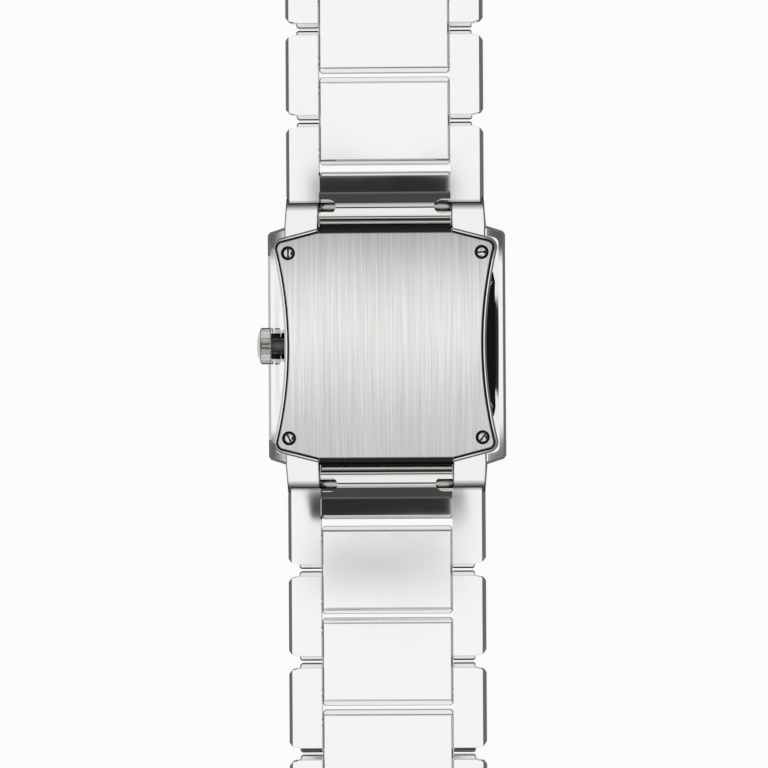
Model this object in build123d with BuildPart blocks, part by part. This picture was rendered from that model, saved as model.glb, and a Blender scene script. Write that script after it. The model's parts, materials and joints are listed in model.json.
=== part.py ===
from build123d import *
import os
from math import cos, radians, sin, sqrt, tan

# A rectangular steel wristwatch on an articulated bracelet, lying on its crystal.
# Millimetres. +Z points out of the case back, +Y towards 12 o'clock, and the crown is at -X.
# The origin is the centre of the crystal's outer face.
# Along the bracelet, u is the distance from the case centre and w the height above the pin line.
# The case is sized from the inside out: battery and bridge, movement, cavity, case back, frame, lugs.

# Clearances shared by all the pieces
inner_gap = 0.1
running_gap = 0.05
pin_fixed_gap = 0.01
pin_recess = 0.1

# Movement
movement_half_x = 7.6
movement_plate_height = 1.2
movement_corner_radius = 0.5
upper_layer_height = 0.35
battery_radius = 3.4
battery_height = 2.1
battery_side_wall = 0.7
battery_end_wall = 0.1
strap_thickness = 0.2
strap_width = 2.2
coil_radius = 0.75
coil_length = 8.0
coil_inset = 2.0
quartz_radius = 0.65
quartz_length = 5.0
bridge_length = 5.2
bridge_width = 2.6
bridge_thickness = 0.4
bridge_gap = 0.4
pillar_radius = 0.25
pillar_height = 0.9
ring_wall = 1.1
ring_height = 2.4

# Case middle
cavity_corner_radius = 1.0
back_clearance = 0.45
frame_front_z = 0.3
frame_ledge_z = 2.0
frame_front_bevel = 1.1
frame_front_drop = 0.65
frame_end_step = 0.79
frame_end_rake = 0.65
frame_back_bevel = 0.28
frame_corner_bevel = 0.25
flank_width = 1.1
body_inset = 0.7
body_end_step = 0.44

# Case back and the rim around it
plate_end_wall = 1.96
plate_waist_wall = 1.24
plate_waist_depth = 1.36
plate_flat_margin = 0.1
plate_shoulder_angle = 14.5
plate_corner_radius = 0.65
plate_thickness = 0.8
plate_proud = 0.15
plate_groove = 0.2
plate_bevel = 0.08
rim_width = 0.28
rim_height = 0.25
rim_bevel = 0.18
back_gasket_width = 0.3
back_gasket_height = 0.3

# Case back screws
screw_wall = 1.3
screw_end_inset = 2.11
screw_head_radius = 0.66
screw_head_height = 0.45
screw_shank_radius = 0.42
screw_length = 2.2
screw_slot_width = 0.26
screw_slot_depth = 0.28
screw_clearance = 0.09
screw_slot_angles = (90, 5, 118, 52)

# Glass and dial
crystal_corner_radius = 0.8
crystal_thickness = 1.2
crystal_bevel = 0.25
crystal_gasket_width = 0.3
window_margin = 0.7
dial_ledge_side = 0.6
dial_ledge_end = 1.0
dial_thickness = 0.4
marker_height = 0.2
marker_width = 0.55
marker_length = 1.9
marker_edge_gap = 0.75

# Hands and the parts that carry them
cannon_radius = 0.45
cannon_head_radius = 0.85
hour_pipe_wall = 0.22
hour_wheel_radius = 2.0
hour_wheel_thickness = 0.3
hour_wheel_teeth = 18
hour_tooth_gap = 0.25
hand_thickness = 0.2
hand_spacing = 0.2
minute_hand_length = 7.6
hour_hand_length = 5.2
hand_width = 0.9
hand_tail = 1.6
hand_hub_radius = 0.8
minute_angle = 54.0
hour_angle = 304.5

# Crown and stem
crown_radius = 1.95
crown_width = 1.57
crown_dome = 0.33
crown_bevel = 0.33
crown_flutes = 24
crown_flute_width = 0.3
crown_flute_depth = 0.17
crown_flute_angle = 70.0
crown_cap_angle = 45.0
crown_back_bevel = 0.16
crown_wall = 0.65
crown_cavity_depth = 1.1
crown_side_gap = 0.2
crown_ledge_gap = 0.1
crown_recess_side = 0.6
crown_recess_depth = 0.73
tube_outer_radius = 0.8
tube_entry = 0.6
tube_inset = 0.7
stem_radius = 0.4
stem_engagement = 3.2
stem_groove_radius = 0.25
stem_groove_length = 0.5
stem_groove_setback = 1.0
seal_thickness = 0.4
crown_travel = 0.8
lever_thickness = 0.3
lever_length = 1.8

# Lugs and spring bars
lug_shoulder = 2.0
lug_width = 3.6
lug_tip_taper = 0.25
lug_tip_radius = 1.45
lug_root_depth = 0.86
lug_play = 0.06
bar_reach = 2.0
bar_depth = 2.5
bar_radius = 0.75
bar_tip_radius = 0.5
bar_tip_reach = 1.2
bar_shoulder_inset = 2.0

# End links
end_barrel_offset = 0.5
end_barrel_radius = 1.6
end_leaf_reach = 3.69
end_leaf_top = 0.9
end_leaf_bottom = 1.3
end_step_reach = 1.55
end_facet_reach = 0.35
end_edge_bevel = 0.4
notch_half_width = 0.77
notch_depth = 1.75
notch_floor = 0.75
key_length = 1.6
key_height = 0.7
key_reach = 2.3
key_drop = 0.2

# Bracelet links
links_per_side = 5
first_pin_reach = 5.75
centre_pin_spacing = 6.6
outer_pin_spacing = 3.1
centre_gap = 0.4
outer_gap = 0.25
link_play = 0.06
centre_half_height = 1.25
centre_bevel_length = 0.6
centre_bevel_height = 0.6
centre_edge_bevel = 0.15
centre_corner_bevel = 0.25
outer_width = 3.46
outer_half_height = 1.5
outer_relief_length = 0.5
outer_relief_height = 0.9
outer_front_bevel = 0.25
outer_edge_bevel = 0.35
outer_tongue_width = 2.3
outer_corner_length = 0.8
outer_corner_bevel = 0.3
tongue_corner_bevel = 0.15
lug_seat_gap = 0.1
pin_radius = 0.45
pin_seat = 1.0
link_turn = 17.0

# Clasp
clasp_bow = 1.2
cover_half_height = 1.5
cover_wall_top = 1.0
cover_thickness = 0.9
cover_side_wall = 1.0
cover_far_overhang = 2.2
cover_end_gap = 0.25
blade_thickness = 0.6
blade_gap = 0.1
blade_inset = 2.0
blade_arm_width = 1.75
blade_side_gap = 0.15
fold_inset = 4.2
fold_knuckle_radius = 0.6
fold_pin_radius = 0.3
eye_radius = 0.8
eye_inset = 4.0
eye_bore_radius = 0.45
stud_radius = 0.3
stud_ear_thickness = 0.8
end_knuckle_radius = 1.0

# Heights that follow, from the crystal up to the case back
minute_hand_z = crystal_thickness + hand_spacing
hour_hand_z = minute_hand_z + hand_thickness + hand_spacing
dial_z = hour_hand_z + hand_thickness + hand_spacing
dial_back_z = dial_z + dial_thickness
movement_z = dial_back_z + running_gap
deck_z = movement_z + movement_plate_height
layer_top_z = deck_z + upper_layer_height
battery_z = layer_top_z + inner_gap - battery_height / 2
battery_top_z = battery_z + battery_height
back_seat_z = battery_top_z + strap_thickness + back_clearance
case_height = back_seat_z + plate_thickness
rim_z = case_height - plate_proud
crown_z = frame_ledge_z + crown_radius + crown_ledge_gap
bar_z = case_height - bar_depth

# Outlines that follow, from the movement out to the lugs
movement_half_y = bridge_width / 2 + bridge_gap + 2 * battery_radius + battery_end_wall
battery_x = movement_half_x - battery_side_wall - battery_radius
battery_y = -(movement_half_y - battery_end_wall - battery_radius)
coil_y = movement_half_y - coil_inset
ring_x = movement_half_x + inner_gap + ring_wall
ring_y = movement_half_y + inner_gap + ring_wall
cavity_half_x = ring_x + inner_gap
cavity_half_y = ring_y + inner_gap
window_x = cavity_half_x - dial_ledge_side
window_y = cavity_half_y - dial_ledge_end
crystal_half_x = window_x + window_margin
crystal_half_y = window_y + window_margin
plate_waist_x = cavity_half_x + plate_waist_wall
plate_corner_x = plate_waist_x + plate_waist_depth
plate_end_y = cavity_half_y + plate_end_wall
screw_x = cavity_half_x + screw_wall
screw_y = plate_end_y - screw_end_inset
rim_margin = plate_groove + rim_width
body_end_y = plate_end_y + body_end_step
frame_half_width = plate_corner_x + flank_width
frame_end_y = plate_end_y + frame_end_step
frame_corner_y = frame_end_y - frame_end_rake
lug_outer_x = frame_half_width - lug_shoulder
lug_inner_x = lug_outer_x - lug_width
lug_tip_x = lug_outer_x - lug_tip_taper
lug_root_y = plate_end_y - lug_root_depth
plate_flat_half = lug_inner_x + plate_flat_margin
bar_y = frame_end_y + bar_reach

# Sizes of turning parts that follow
cannon_bore = cannon_radius + running_gap
hour_pipe_radius = cannon_bore + hour_pipe_wall
crown_cavity_radius = crown_radius - crown_wall
crown_inner_x = frame_half_width - body_inset + crown_side_gap
stem_inner_x = movement_half_x - stem_engagement
groove_x = stem_inner_x + stem_groove_setback
lever_x = groove_x + stem_groove_length / 2
lever_y = stem_groove_radius + running_gap + lever_length / 2
lever_low_z = crown_z - stem_radius / 2
pin_bore = pin_radius + running_gap

# Places along the bracelet that follow
end_half_width = lug_inner_x - lug_play
outer_inner_x = end_half_width
outer_outer_x = outer_inner_x + outer_width
centre_half_width = outer_inner_x - link_play
bar_shoulder_x = end_half_width - bar_shoulder_inset
end_barrel_u = bar_y - end_barrel_offset
end_outer_u = bar_y + end_leaf_reach
end_step_u = bar_y + end_step_reach
end_facet_u = bar_y + end_facet_reach
key_u = bar_y + key_reach
first_pin_u = bar_y + first_pin_reach
pair_pitch = centre_pin_spacing + outer_pin_spacing
centre_overhang = (outer_pin_spacing - centre_gap) / 2
outer_overhang = (centre_pin_spacing - outer_gap) / 2
last_pin_u = first_pin_u + links_per_side * pair_pitch - outer_pin_spacing
middle_blade_half = outer_inner_x - blade_inset
inner_blade_half = middle_blade_half - blade_arm_width - blade_side_gap
arm_inner_x = inner_blade_half + blade_side_gap + inner_gap
ear_inner_x = middle_blade_half + blade_side_gap

os.makedirs("parts", exist_ok=True)


def save(builder, name):
    """Labels a finished piece and writes it under its name."""
    builder.part.label = name
    export_step(builder.part, f"parts/{name}.step")


def rounded_box(half_x, half_y, radius, z):
    """A rectangle with round corners at height z."""
    with BuildSketch(Plane.XY.offset(z)) as face:
        RectangleRounded(2 * half_x, 2 * half_y, radius)
    return face.sketch


def waisted_face(margin, z):
    """The case back's outline, grown by a margin, at height z."""
    corner_y = plate_end_y - (plate_corner_x - plate_flat_half) * tan(radians(plate_shoulder_angle))
    with BuildSketch(Plane.XY.offset(z)) as face:
        with BuildLine():
            Line((-plate_flat_half, plate_end_y), (plate_flat_half, plate_end_y))
            Line((plate_flat_half, plate_end_y), (plate_corner_x, corner_y))
            ThreePointArc((plate_corner_x, corner_y), (plate_waist_x, 0), (plate_corner_x, -corner_y))
            Line((plate_corner_x, -corner_y), (plate_flat_half, -plate_end_y))
            Line((plate_flat_half, -plate_end_y), (-plate_flat_half, -plate_end_y))
            Line((-plate_flat_half, -plate_end_y), (-plate_corner_x, -corner_y))
            ThreePointArc((-plate_corner_x, -corner_y), (-plate_waist_x, 0), (-plate_corner_x, corner_y))
            Line((-plate_corner_x, corner_y), (-plate_flat_half, plate_end_y))
        make_face()
        corners = face.vertices().filter_by(lambda v: abs(v.X) > plate_flat_half + inner_gap)
        fillet(corners, radius=plate_corner_radius)
        if margin:
            offset(amount=margin, kind=Kind.INTERSECTION)
    return face.sketch


def body_face(z):
    """The straight-sided outline at the foot of the flanks, with the same corners as the rim."""
    half = frame_half_width - body_inset
    corner_y = frame_corner_y - body_inset
    with BuildSketch(Plane.XY.offset(z)) as face:
        with BuildLine():
            Polyline(
                (-plate_flat_half, body_end_y),
                (plate_flat_half, body_end_y),
                (half, corner_y),
                (half, -corner_y),
                (plate_flat_half, -body_end_y),
                (-plate_flat_half, -body_end_y),
                (-half, -corner_y),
                (-half, corner_y),
                close=True,
            )
        make_face()
        corners = face.vertices().filter_by(lambda v: abs(v.X) > plate_flat_half + inner_gap)
        fillet(corners, radius=plate_corner_radius)
    return face.sketch


def frame_face(z, inset):
    """The front frame's outline with its raked end edges."""
    half = frame_half_width - inset
    with BuildSketch(Plane.XY.offset(z)) as face:
        with BuildLine():
            Polyline(
                (-lug_outer_x, frame_end_y - inset),
                (lug_outer_x, frame_end_y - inset),
                (half, frame_corner_y - inset),
                (half, -frame_corner_y + inset),
                (lug_outer_x, -frame_end_y + inset),
                (-lug_outer_x, -frame_end_y + inset),
                (-half, -frame_corner_y + inset),
                (-half, frame_corner_y - inset),
                close=True,
            )
        make_face()
    return face.sketch


def side_plane(side, x=0.0):
    """A plane along the bracelet of one side, at x, whose axes are u outwards and w upwards."""
    return Plane(origin=(side * x, 0, bar_z), x_dir=(0, side, 0), z_dir=(side, 0, 0))


def pin_plane(side, u, w, x):
    """A plane across a pin, so that extruding runs along X."""
    return Plane(origin=(x, side * u, bar_z + w), x_dir=(0, 1, 0), z_dir=(1, 0, 0))


def stem_plane(x):
    """A plane across the crown's axis, x inside of the crown, so that extruding runs outwards."""
    return Plane(origin=(-x, 0, crown_z), z_dir=(-1, 0, 0))


def cross_pin(side, u, w, radius, half_length):
    """A round pin across the bracelet, centred on the case's middle plane."""
    with BuildPart() as pin:
        with BuildSketch(pin_plane(side, u, w, 0)):
            Circle(radius)
        extrude(amount=half_length, both=True)
    return pin.part


# Case middle: front frame, flanks, four lugs, and the space for the movement
with BuildPart() as lug:
    with BuildSketch(side_plane(1, lug_inner_x)) as lug_side:
        with BuildLine():
            CenterArc((bar_y, 0), lug_tip_radius, 0, 360)
            Line((lug_root_y, frame_front_z + frame_front_drop - bar_z), (lug_root_y, rim_z - rim_height - bar_z))
        make_hull()
    extrude(amount=lug_outer_x - lug_inner_x)
    with BuildSketch(Plane.XY):
        with BuildLine():
            Polyline(
                (lug_inner_x, lug_root_y),
                (lug_outer_x, lug_root_y),
                (lug_outer_x, frame_end_y),
                (lug_tip_x, bar_y + lug_tip_radius),
                (lug_inner_x, bar_y + lug_tip_radius),
                close=True,
            )
        make_face()
    extrude(amount=case_height, mode=Mode.INTERSECT)
    with BuildSketch(side_plane(1, lug_inner_x)):
        with Locations((bar_y, 0)):
            Circle(bar_tip_radius + running_gap)
    extrude(amount=bar_tip_reach + pin_recess, mode=Mode.SUBTRACT)

with BuildPart() as case_middle:
    extrude(frame_face(frame_front_z, 0), amount=frame_ledge_z - frame_front_z)
    front_edges = case_middle.faces().sort_by(Axis.Z)[0].edges()
    chamfer(front_edges, length=frame_front_drop, length2=frame_front_bevel)
    frame_corners = case_middle.edges().filter_by(Axis.Z)
    chamfer(frame_corners.sort_by(lambda e: abs(e.center().X))[-4:], length=frame_corner_bevel)
    chamfer(case_middle.faces().sort_by(Axis.Z)[-1].edges(), length=frame_back_bevel)
    loft([body_face(frame_ledge_z), waisted_face(rim_margin, rim_z - rim_height)], ruled=True)
    extrude(waisted_face(rim_margin, rim_z - rim_height), amount=rim_height)
    chamfer(case_middle.faces().sort_by(Axis.Z)[-1].edges(), length=rim_bevel)
    with BuildSketch(Plane.XY.offset(frame_ledge_z)):
        for side in (-1, 1):
            with Locations((0, side * (plate_end_y + lug_tip_radius))):
                Rectangle(2 * lug_inner_x, 2 * lug_tip_radius)
    extrude(amount=case_height, mode=Mode.SUBTRACT)
    add(lug.part)
    add(mirror(lug.part, about=Plane.YZ, mode=Mode.PRIVATE))
    add(mirror(lug.part, about=Plane.XZ, mode=Mode.PRIVATE))
    add(mirror(mirror(lug.part, about=Plane.YZ, mode=Mode.PRIVATE), about=Plane.XZ, mode=Mode.PRIVATE))
    extrude(waisted_face(plate_groove, back_seat_z), amount=case_height, mode=Mode.SUBTRACT)
    pocket_x = crystal_half_x + crystal_gasket_width
    pocket_y = crystal_half_y + crystal_gasket_width
    pocket_radius = crystal_corner_radius + crystal_gasket_width
    extrude(
        rounded_box(pocket_x, pocket_y, pocket_radius, 0),
        amount=crystal_thickness,
        mode=Mode.SUBTRACT,
    )
    extrude(
        rounded_box(window_x, window_y, crystal_corner_radius, 0),
        amount=dial_back_z,
        mode=Mode.SUBTRACT,
    )
    extrude(
        rounded_box(cavity_half_x, cavity_half_y, cavity_corner_radius, dial_z),
        amount=case_height,
        mode=Mode.SUBTRACT,
    )
    with BuildSketch(Plane.XY.offset(back_seat_z)):
        with Locations(*[(sx * screw_x, sy * screw_y) for sx in (-1, 1) for sy in (-1, 1)]):
            Circle(screw_shank_radius + pin_fixed_gap)
    extrude(amount=-screw_length, mode=Mode.SUBTRACT)
    with BuildSketch(Plane.XY.offset(frame_ledge_z)):
        with Locations((-crown_inner_x, 0)):
            Rectangle(2 * (crown_side_gap + crown_recess_depth), 2 * (crown_radius - crown_recess_side))
    extrude(amount=case_height - frame_ledge_z, mode=Mode.SUBTRACT)
    with BuildSketch(stem_plane(ring_x)):
        Circle(tube_outer_radius + pin_fixed_gap)
    extrude(amount=crown_inner_x - ring_x, mode=Mode.SUBTRACT)
save(case_middle, "case_middle")

# Case back plate with its screw holes and the step that centres it
with BuildPart() as case_back:
    extrude(waisted_face(0, back_seat_z + pin_fixed_gap), amount=plate_thickness - pin_fixed_gap)
    chamfer(case_back.faces().sort_by(Axis.Z)[-1].edges(), length=plate_bevel)
    with BuildSketch(Plane.XY.offset(case_height)):
        with Locations(*[(sx * screw_x, sy * screw_y) for sx in (-1, 1) for sy in (-1, 1)]):
            Circle(screw_head_radius + screw_clearance)
    extrude(amount=-screw_head_height, mode=Mode.SUBTRACT)
    with BuildSketch(Plane.XY.offset(case_height)):
        with Locations(*[(sx * screw_x, sy * screw_y) for sx in (-1, 1) for sy in (-1, 1)]):
            Circle(screw_shank_radius + screw_clearance)
    extrude(amount=-case_height, mode=Mode.SUBTRACT)
save(case_back, "case_back")

# Case back gasket, a flat ring just inside the cavity's mouth
with BuildPart() as case_back_gasket:
    gasket_z = back_seat_z - back_gasket_height
    extrude(
        rounded_box(cavity_half_x, cavity_half_y, cavity_corner_radius, gasket_z),
        amount=back_gasket_height,
    )
    extrude(
        rounded_box(
            cavity_half_x - back_gasket_width,
            cavity_half_y - back_gasket_width,
            cavity_corner_radius - back_gasket_width,
            gasket_z,
        ),
        amount=back_gasket_height,
        mode=Mode.SUBTRACT,
    )
save(case_back_gasket, "case_back_gasket")

# Four slotted screws, heads sunk just below the plate's face
head_z = case_height - screw_head_height
screw_places = [(-screw_x, screw_y), (screw_x, screw_y), (-screw_x, -screw_y), (screw_x, -screw_y)]
with BuildPart() as case_back_screws:
    for (place_x, place_y), slot_angle in zip(screw_places, screw_slot_angles):
        with BuildSketch(Plane.XY.offset(head_z)):
            with Locations((place_x, place_y)):
                Circle(screw_head_radius)
        extrude(amount=screw_head_height - plate_bevel)
        with BuildSketch(Plane.XY.offset(head_z)):
            with Locations((place_x, place_y)):
                Circle(screw_shank_radius)
        extrude(amount=-screw_length)
        with BuildSketch(Plane.XY.offset(case_height)):
            with Locations(Location((place_x, place_y), slot_angle)):
                Rectangle(2 * (screw_head_radius + screw_clearance), screw_slot_width)
        extrude(amount=-screw_slot_depth, mode=Mode.SUBTRACT)
save(case_back_screws, "case_back_screws")

# Crystal and its gasket
with BuildPart() as crystal:
    extrude(
        rounded_box(crystal_half_x, crystal_half_y, crystal_corner_radius, 0),
        amount=crystal_thickness,
    )
    chamfer(crystal.faces().sort_by(Axis.Z)[0].edges(), length=crystal_bevel)
save(crystal, "crystal")

with BuildPart() as crystal_gasket:
    gasket_front = frame_front_z + inner_gap
    extrude(
        rounded_box(pocket_x, pocket_y, pocket_radius, gasket_front),
        amount=crystal_thickness - gasket_front,
    )
    extrude(
        rounded_box(crystal_half_x, crystal_half_y, crystal_corner_radius, gasket_front),
        amount=crystal_thickness,
        mode=Mode.SUBTRACT,
    )
save(crystal_gasket, "crystal_gasket")

# Dial and the twelve applied markers, which follow the rectangular window
with BuildPart() as dial:
    extrude(rounded_box(ring_x, ring_y, cavity_corner_radius, dial_z), amount=dial_thickness)
    with BuildSketch(Plane.XY.offset(dial_z)):
        Circle(hour_pipe_radius + running_gap)
    extrude(amount=dial_thickness, mode=Mode.SUBTRACT)
save(dial, "dial")

track_x = window_x - marker_edge_gap
track_y = window_y - marker_edge_gap
with BuildPart() as hour_markers:
    for hour in range(12):
        along_x = -sin(radians(30 * hour))
        along_y = cos(radians(30 * hour))
        reach = min(
            track_x / max(abs(along_x), 1e-6),
            track_y / max(abs(along_y), 1e-6),
        )
        outer_x = along_x * reach
        outer_y = along_y * reach
        on_side = track_x * abs(along_y) < track_y * abs(along_x)
        size_x = marker_length if on_side else marker_width
        size_y = marker_width if on_side else marker_length
        centre_x = outer_x - (size_x / 2 if on_side else 0) * (1 if outer_x > 0 else -1)
        centre_y = outer_y - (0 if on_side else size_y / 2) * (1 if outer_y > 0 else -1)
        with BuildSketch(Plane.XY.offset(dial_z)):
            with Locations((centre_x, centre_y)):
                Rectangle(size_x, size_y)
        extrude(amount=-marker_height)
save(hour_markers, "hour_markers")

# Movement ring, a spacer with a gap for the stem
with BuildPart() as movement_ring:
    extrude(rounded_box(ring_x, ring_y, cavity_corner_radius, movement_z), amount=ring_height)
    extrude(
        rounded_box(ring_x - ring_wall, ring_y - ring_wall, movement_corner_radius, movement_z),
        amount=ring_height,
        mode=Mode.SUBTRACT,
    )
    with BuildSketch(stem_plane(movement_half_x)):
        Circle(stem_radius + inner_gap)
    extrude(amount=cavity_half_x - movement_half_x, mode=Mode.SUBTRACT)
save(movement_ring, "movement_ring")

# Movement plate with the wells for the battery, the hour wheel, the stem and the setting lever
with BuildPart() as movement_plate:
    extrude(
        rounded_box(movement_half_x, movement_half_y, movement_corner_radius, movement_z),
        amount=movement_plate_height,
    )
    with BuildSketch(Plane.XY.offset(movement_z)):
        Circle(hour_wheel_radius + inner_gap)
    extrude(amount=hour_wheel_thickness + inner_gap, mode=Mode.SUBTRACT)
    with BuildSketch(Plane.XY.offset(movement_z)):
        Circle(cannon_head_radius + inner_gap)
    extrude(amount=movement_plate_height, mode=Mode.SUBTRACT)
    with BuildSketch(Plane.XY.offset(battery_z - inner_gap)):
        with Locations((battery_x, battery_y)):
            Circle(battery_radius + inner_gap)
    extrude(amount=case_height, mode=Mode.SUBTRACT)
    with BuildSketch(stem_plane(stem_inner_x - 2 * inner_gap)):
        Circle(stem_radius + inner_gap)
    extrude(amount=movement_half_x, mode=Mode.SUBTRACT)
    with BuildSketch(Plane.XY.offset(lever_low_z - running_gap)):
        with Locations((-lever_x - crown_travel / 2, lever_y)):
            Rectangle(lever_thickness + crown_travel + 2 * inner_gap, lever_length + 2 * inner_gap)
    extrude(amount=case_height, mode=Mode.SUBTRACT)
save(movement_plate, "movement_plate")

with BuildPart() as battery_cell:
    with BuildSketch(Plane.XY.offset(battery_z)):
        with Locations((battery_x, battery_y)):
            Circle(battery_radius)
    extrude(amount=battery_height)
save(battery_cell, "battery_cell")

with BuildPart() as battery_strap:
    with BuildSketch(Plane.XY.offset(battery_top_z)):
        with Locations((battery_x, battery_y)):
            Rectangle(2 * battery_radius, strap_width)
    extrude(amount=strap_thickness)
    with BuildSketch(Plane.XY.offset(deck_z)):
        with Locations((battery_x - battery_radius - strap_width / 2, battery_y)):
            Rectangle(strap_width - inner_gap, strap_width)
    extrude(amount=battery_top_z + strap_thickness - deck_z)
    with BuildSketch(Plane.XY.offset(battery_top_z)):
        with Locations((battery_x - battery_radius, battery_y)):
            Rectangle(strap_width, strap_width)
    extrude(amount=strap_thickness)
save(battery_strap, "battery_strap")

# Circuit board with its quartz can, and the motor's coil and stator
with BuildPart() as circuit_board:
    with BuildSketch(Plane.XY.offset(deck_z)):
        with Locations((movement_half_x / 2, coil_y / 2 - inner_gap)):
            Rectangle(movement_half_x - 2 * inner_gap, coil_y - 4 * coil_radius)
    extrude(amount=upper_layer_height)
    with BuildSketch(Plane.XY.offset(deck_z)):
        Circle(bridge_length / 2)
    extrude(amount=upper_layer_height, mode=Mode.SUBTRACT)
save(circuit_board, "circuit_board")

quartz_y = coil_y - 2 * coil_radius - quartz_radius - 4 * inner_gap
with BuildPart() as quartz_can:
    quartz_end = (movement_half_x - inner_gap, quartz_y, layer_top_z + quartz_radius)
    with BuildSketch(Plane(origin=quartz_end, z_dir=(-1, 0, 0))):
        Circle(quartz_radius)
    extrude(amount=quartz_length)
save(quartz_can, "quartz_can")

with BuildPart() as motor_coil:
    with BuildSketch(Plane(origin=(-coil_length / 2, coil_y, layer_top_z + coil_radius), z_dir=(1, 0, 0))):
        Circle(coil_radius)
    extrude(amount=coil_length)
save(motor_coil, "motor_coil")

with BuildPart() as motor_stator:
    with BuildSketch(Plane.XY.offset(deck_z)):
        with Locations((0, coil_y)):
            Rectangle(coil_length + 4 * coil_radius, 2 * coil_radius)
    extrude(amount=upper_layer_height)
save(motor_stator, "motor_stator")

# Train bridge on its two pillars
with BuildPart() as train_bridge:
    with BuildSketch(Plane.XY.offset(deck_z + pillar_height)):
        Rectangle(bridge_length, bridge_width)
    extrude(amount=bridge_thickness)
    with BuildSketch(Plane.XY.offset(deck_z)):
        with Locations(
            (bridge_length / 2 - 2 * pillar_radius, 0),
            (-bridge_length / 2 + 2 * pillar_radius, 0),
        ):
            Circle(pillar_radius)
    extrude(amount=pillar_height)
save(train_bridge, "train_bridge")

# Crown tube, fixed in the case wall
with BuildPart() as crown_tube:
    tube_inner_x = cavity_half_x + tube_inset
    with BuildSketch(stem_plane(tube_inner_x)):
        Circle(tube_outer_radius)
        Circle(stem_radius + running_gap, mode=Mode.SUBTRACT)
    extrude(amount=crown_inner_x + tube_entry - tube_inner_x)
save(crown_tube, "crown_tube")

# Crown: a fluted drum with a bevelled rim and a low domed cap, hollow over the tube
crown_axis = stem_plane(crown_inner_x)
with BuildPart() as crown:
    with BuildSketch(crown_axis):
        Circle(crown_radius)
    extrude(amount=crown_width)
    rim_edges = crown.edges().filter_by(GeomType.CIRCLE).sort_by(Axis.X)
    chamfer(rim_edges[0], length=crown_bevel)
    chamfer(rim_edges[-1], length=crown_back_bevel)
    with BuildSketch(crown_axis):
        with PolarLocations(crown_radius, crown_flutes):
            Trapezoid(2 * crown_flute_depth, crown_flute_width, crown_flute_angle, rotation=-90)
    extrude(amount=crown_width, mode=Mode.SUBTRACT)
    cap_radius = crown_radius - crown_bevel - crown_flute_depth
    with BuildSketch(crown_axis.offset(crown_width)) as cap:
        Circle(cap_radius)
    extrude(cap.sketch, amount=crown_dome, taper=crown_cap_angle)
    with BuildSketch(crown_axis):
        Circle(crown_cavity_radius)
    extrude(amount=crown_cavity_depth, mode=Mode.SUBTRACT)
    with BuildSketch(crown_axis):
        Circle(stem_radius + pin_fixed_gap)
    extrude(amount=crown_width, mode=Mode.SUBTRACT)
save(crown, "crown")

with BuildPart() as crown_stem:
    with BuildSketch(stem_plane(stem_inner_x)):
        Circle(stem_radius)
    extrude(amount=crown_inner_x + crown_width - stem_inner_x)
    with BuildSketch(stem_plane(groove_x)):
        Circle(stem_radius)
        Circle(stem_groove_radius, mode=Mode.SUBTRACT)
    extrude(amount=stem_groove_length, mode=Mode.SUBTRACT)
save(crown_stem, "crown_stem")

# Seal ring in the crown, around the tube
with BuildPart() as crown_seal:
    with BuildSketch(stem_plane(crown_inner_x + crown_cavity_depth)):
        Circle(crown_cavity_radius)
        Circle(stem_radius + running_gap, mode=Mode.SUBTRACT)
    extrude(amount=-seal_thickness)
save(crown_seal, "crown_seal")

# Setting lever: a small plate that follows the stem's groove when the crown is pulled
with BuildPart() as setting_lever:
    with BuildSketch(Plane(origin=(-lever_x, lever_y, crown_z), x_dir=(0, 1, 0), z_dir=(1, 0, 0))):
        Rectangle(lever_length, stem_radius)
    extrude(amount=lever_thickness / 2, both=True)
save(setting_lever, "setting_lever")


def hand(length, width, angle, z, bore):
    """A baton hand with a pointed tip, turned to its place on the dial."""
    face_plane = Plane(origin=(0, 0, z), x_dir=(cos(radians(angle)), sin(radians(angle)), 0), z_dir=(0, 0, 1))
    with BuildPart() as blade:
        with BuildSketch(face_plane):
            with BuildLine():
                Polyline(
                    (-width / 2, -hand_tail),
                    (width / 2, -hand_tail),
                    (width / 2, length - width),
                    (0, length),
                    (-width / 2, length - width),
                    close=True,
                )
            make_face()
            Circle(hand_hub_radius)
            Circle(bore, mode=Mode.SUBTRACT)
        extrude(amount=hand_thickness)
    return blade


minute_hand = hand(minute_hand_length, hand_width, minute_angle, minute_hand_z, cannon_radius + pin_fixed_gap)
save(minute_hand, "minute_hand")
hour_hand = hand(hour_hand_length, hand_width, hour_angle, hour_hand_z, hour_pipe_radius + pin_fixed_gap)
save(hour_hand, "hour_hand")

# Cannon pinion and hour wheel, one inside the other
cannon_head_z = movement_z + hour_wheel_thickness + 2 * inner_gap
with BuildPart() as cannon_pinion:
    with BuildSketch(Plane.XY.offset(minute_hand_z)):
        Circle(cannon_radius)
    extrude(amount=cannon_head_z - minute_hand_z)
    with BuildSketch(Plane.XY.offset(cannon_head_z)):
        Circle(cannon_head_radius)
    extrude(amount=deck_z - cannon_head_z)
save(cannon_pinion, "cannon_pinion")

with BuildPart() as hour_wheel:
    with BuildSketch(Plane.XY.offset(movement_z + inner_gap)):
        Circle(hour_wheel_radius)
        with PolarLocations(hour_wheel_radius, hour_wheel_teeth):
            Rectangle(2 * hour_tooth_gap, hour_tooth_gap, mode=Mode.SUBTRACT)
    extrude(amount=hour_wheel_thickness)
    with BuildSketch(Plane.XY.offset(hour_hand_z)):
        Circle(hour_pipe_radius)
    extrude(amount=movement_z + inner_gap - hour_hand_z)
    with BuildSketch(Plane.XY.offset(hour_hand_z)):
        Circle(cannon_bore)
    extrude(amount=case_height, mode=Mode.SUBTRACT)
save(hour_wheel, "hour_wheel")


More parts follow.
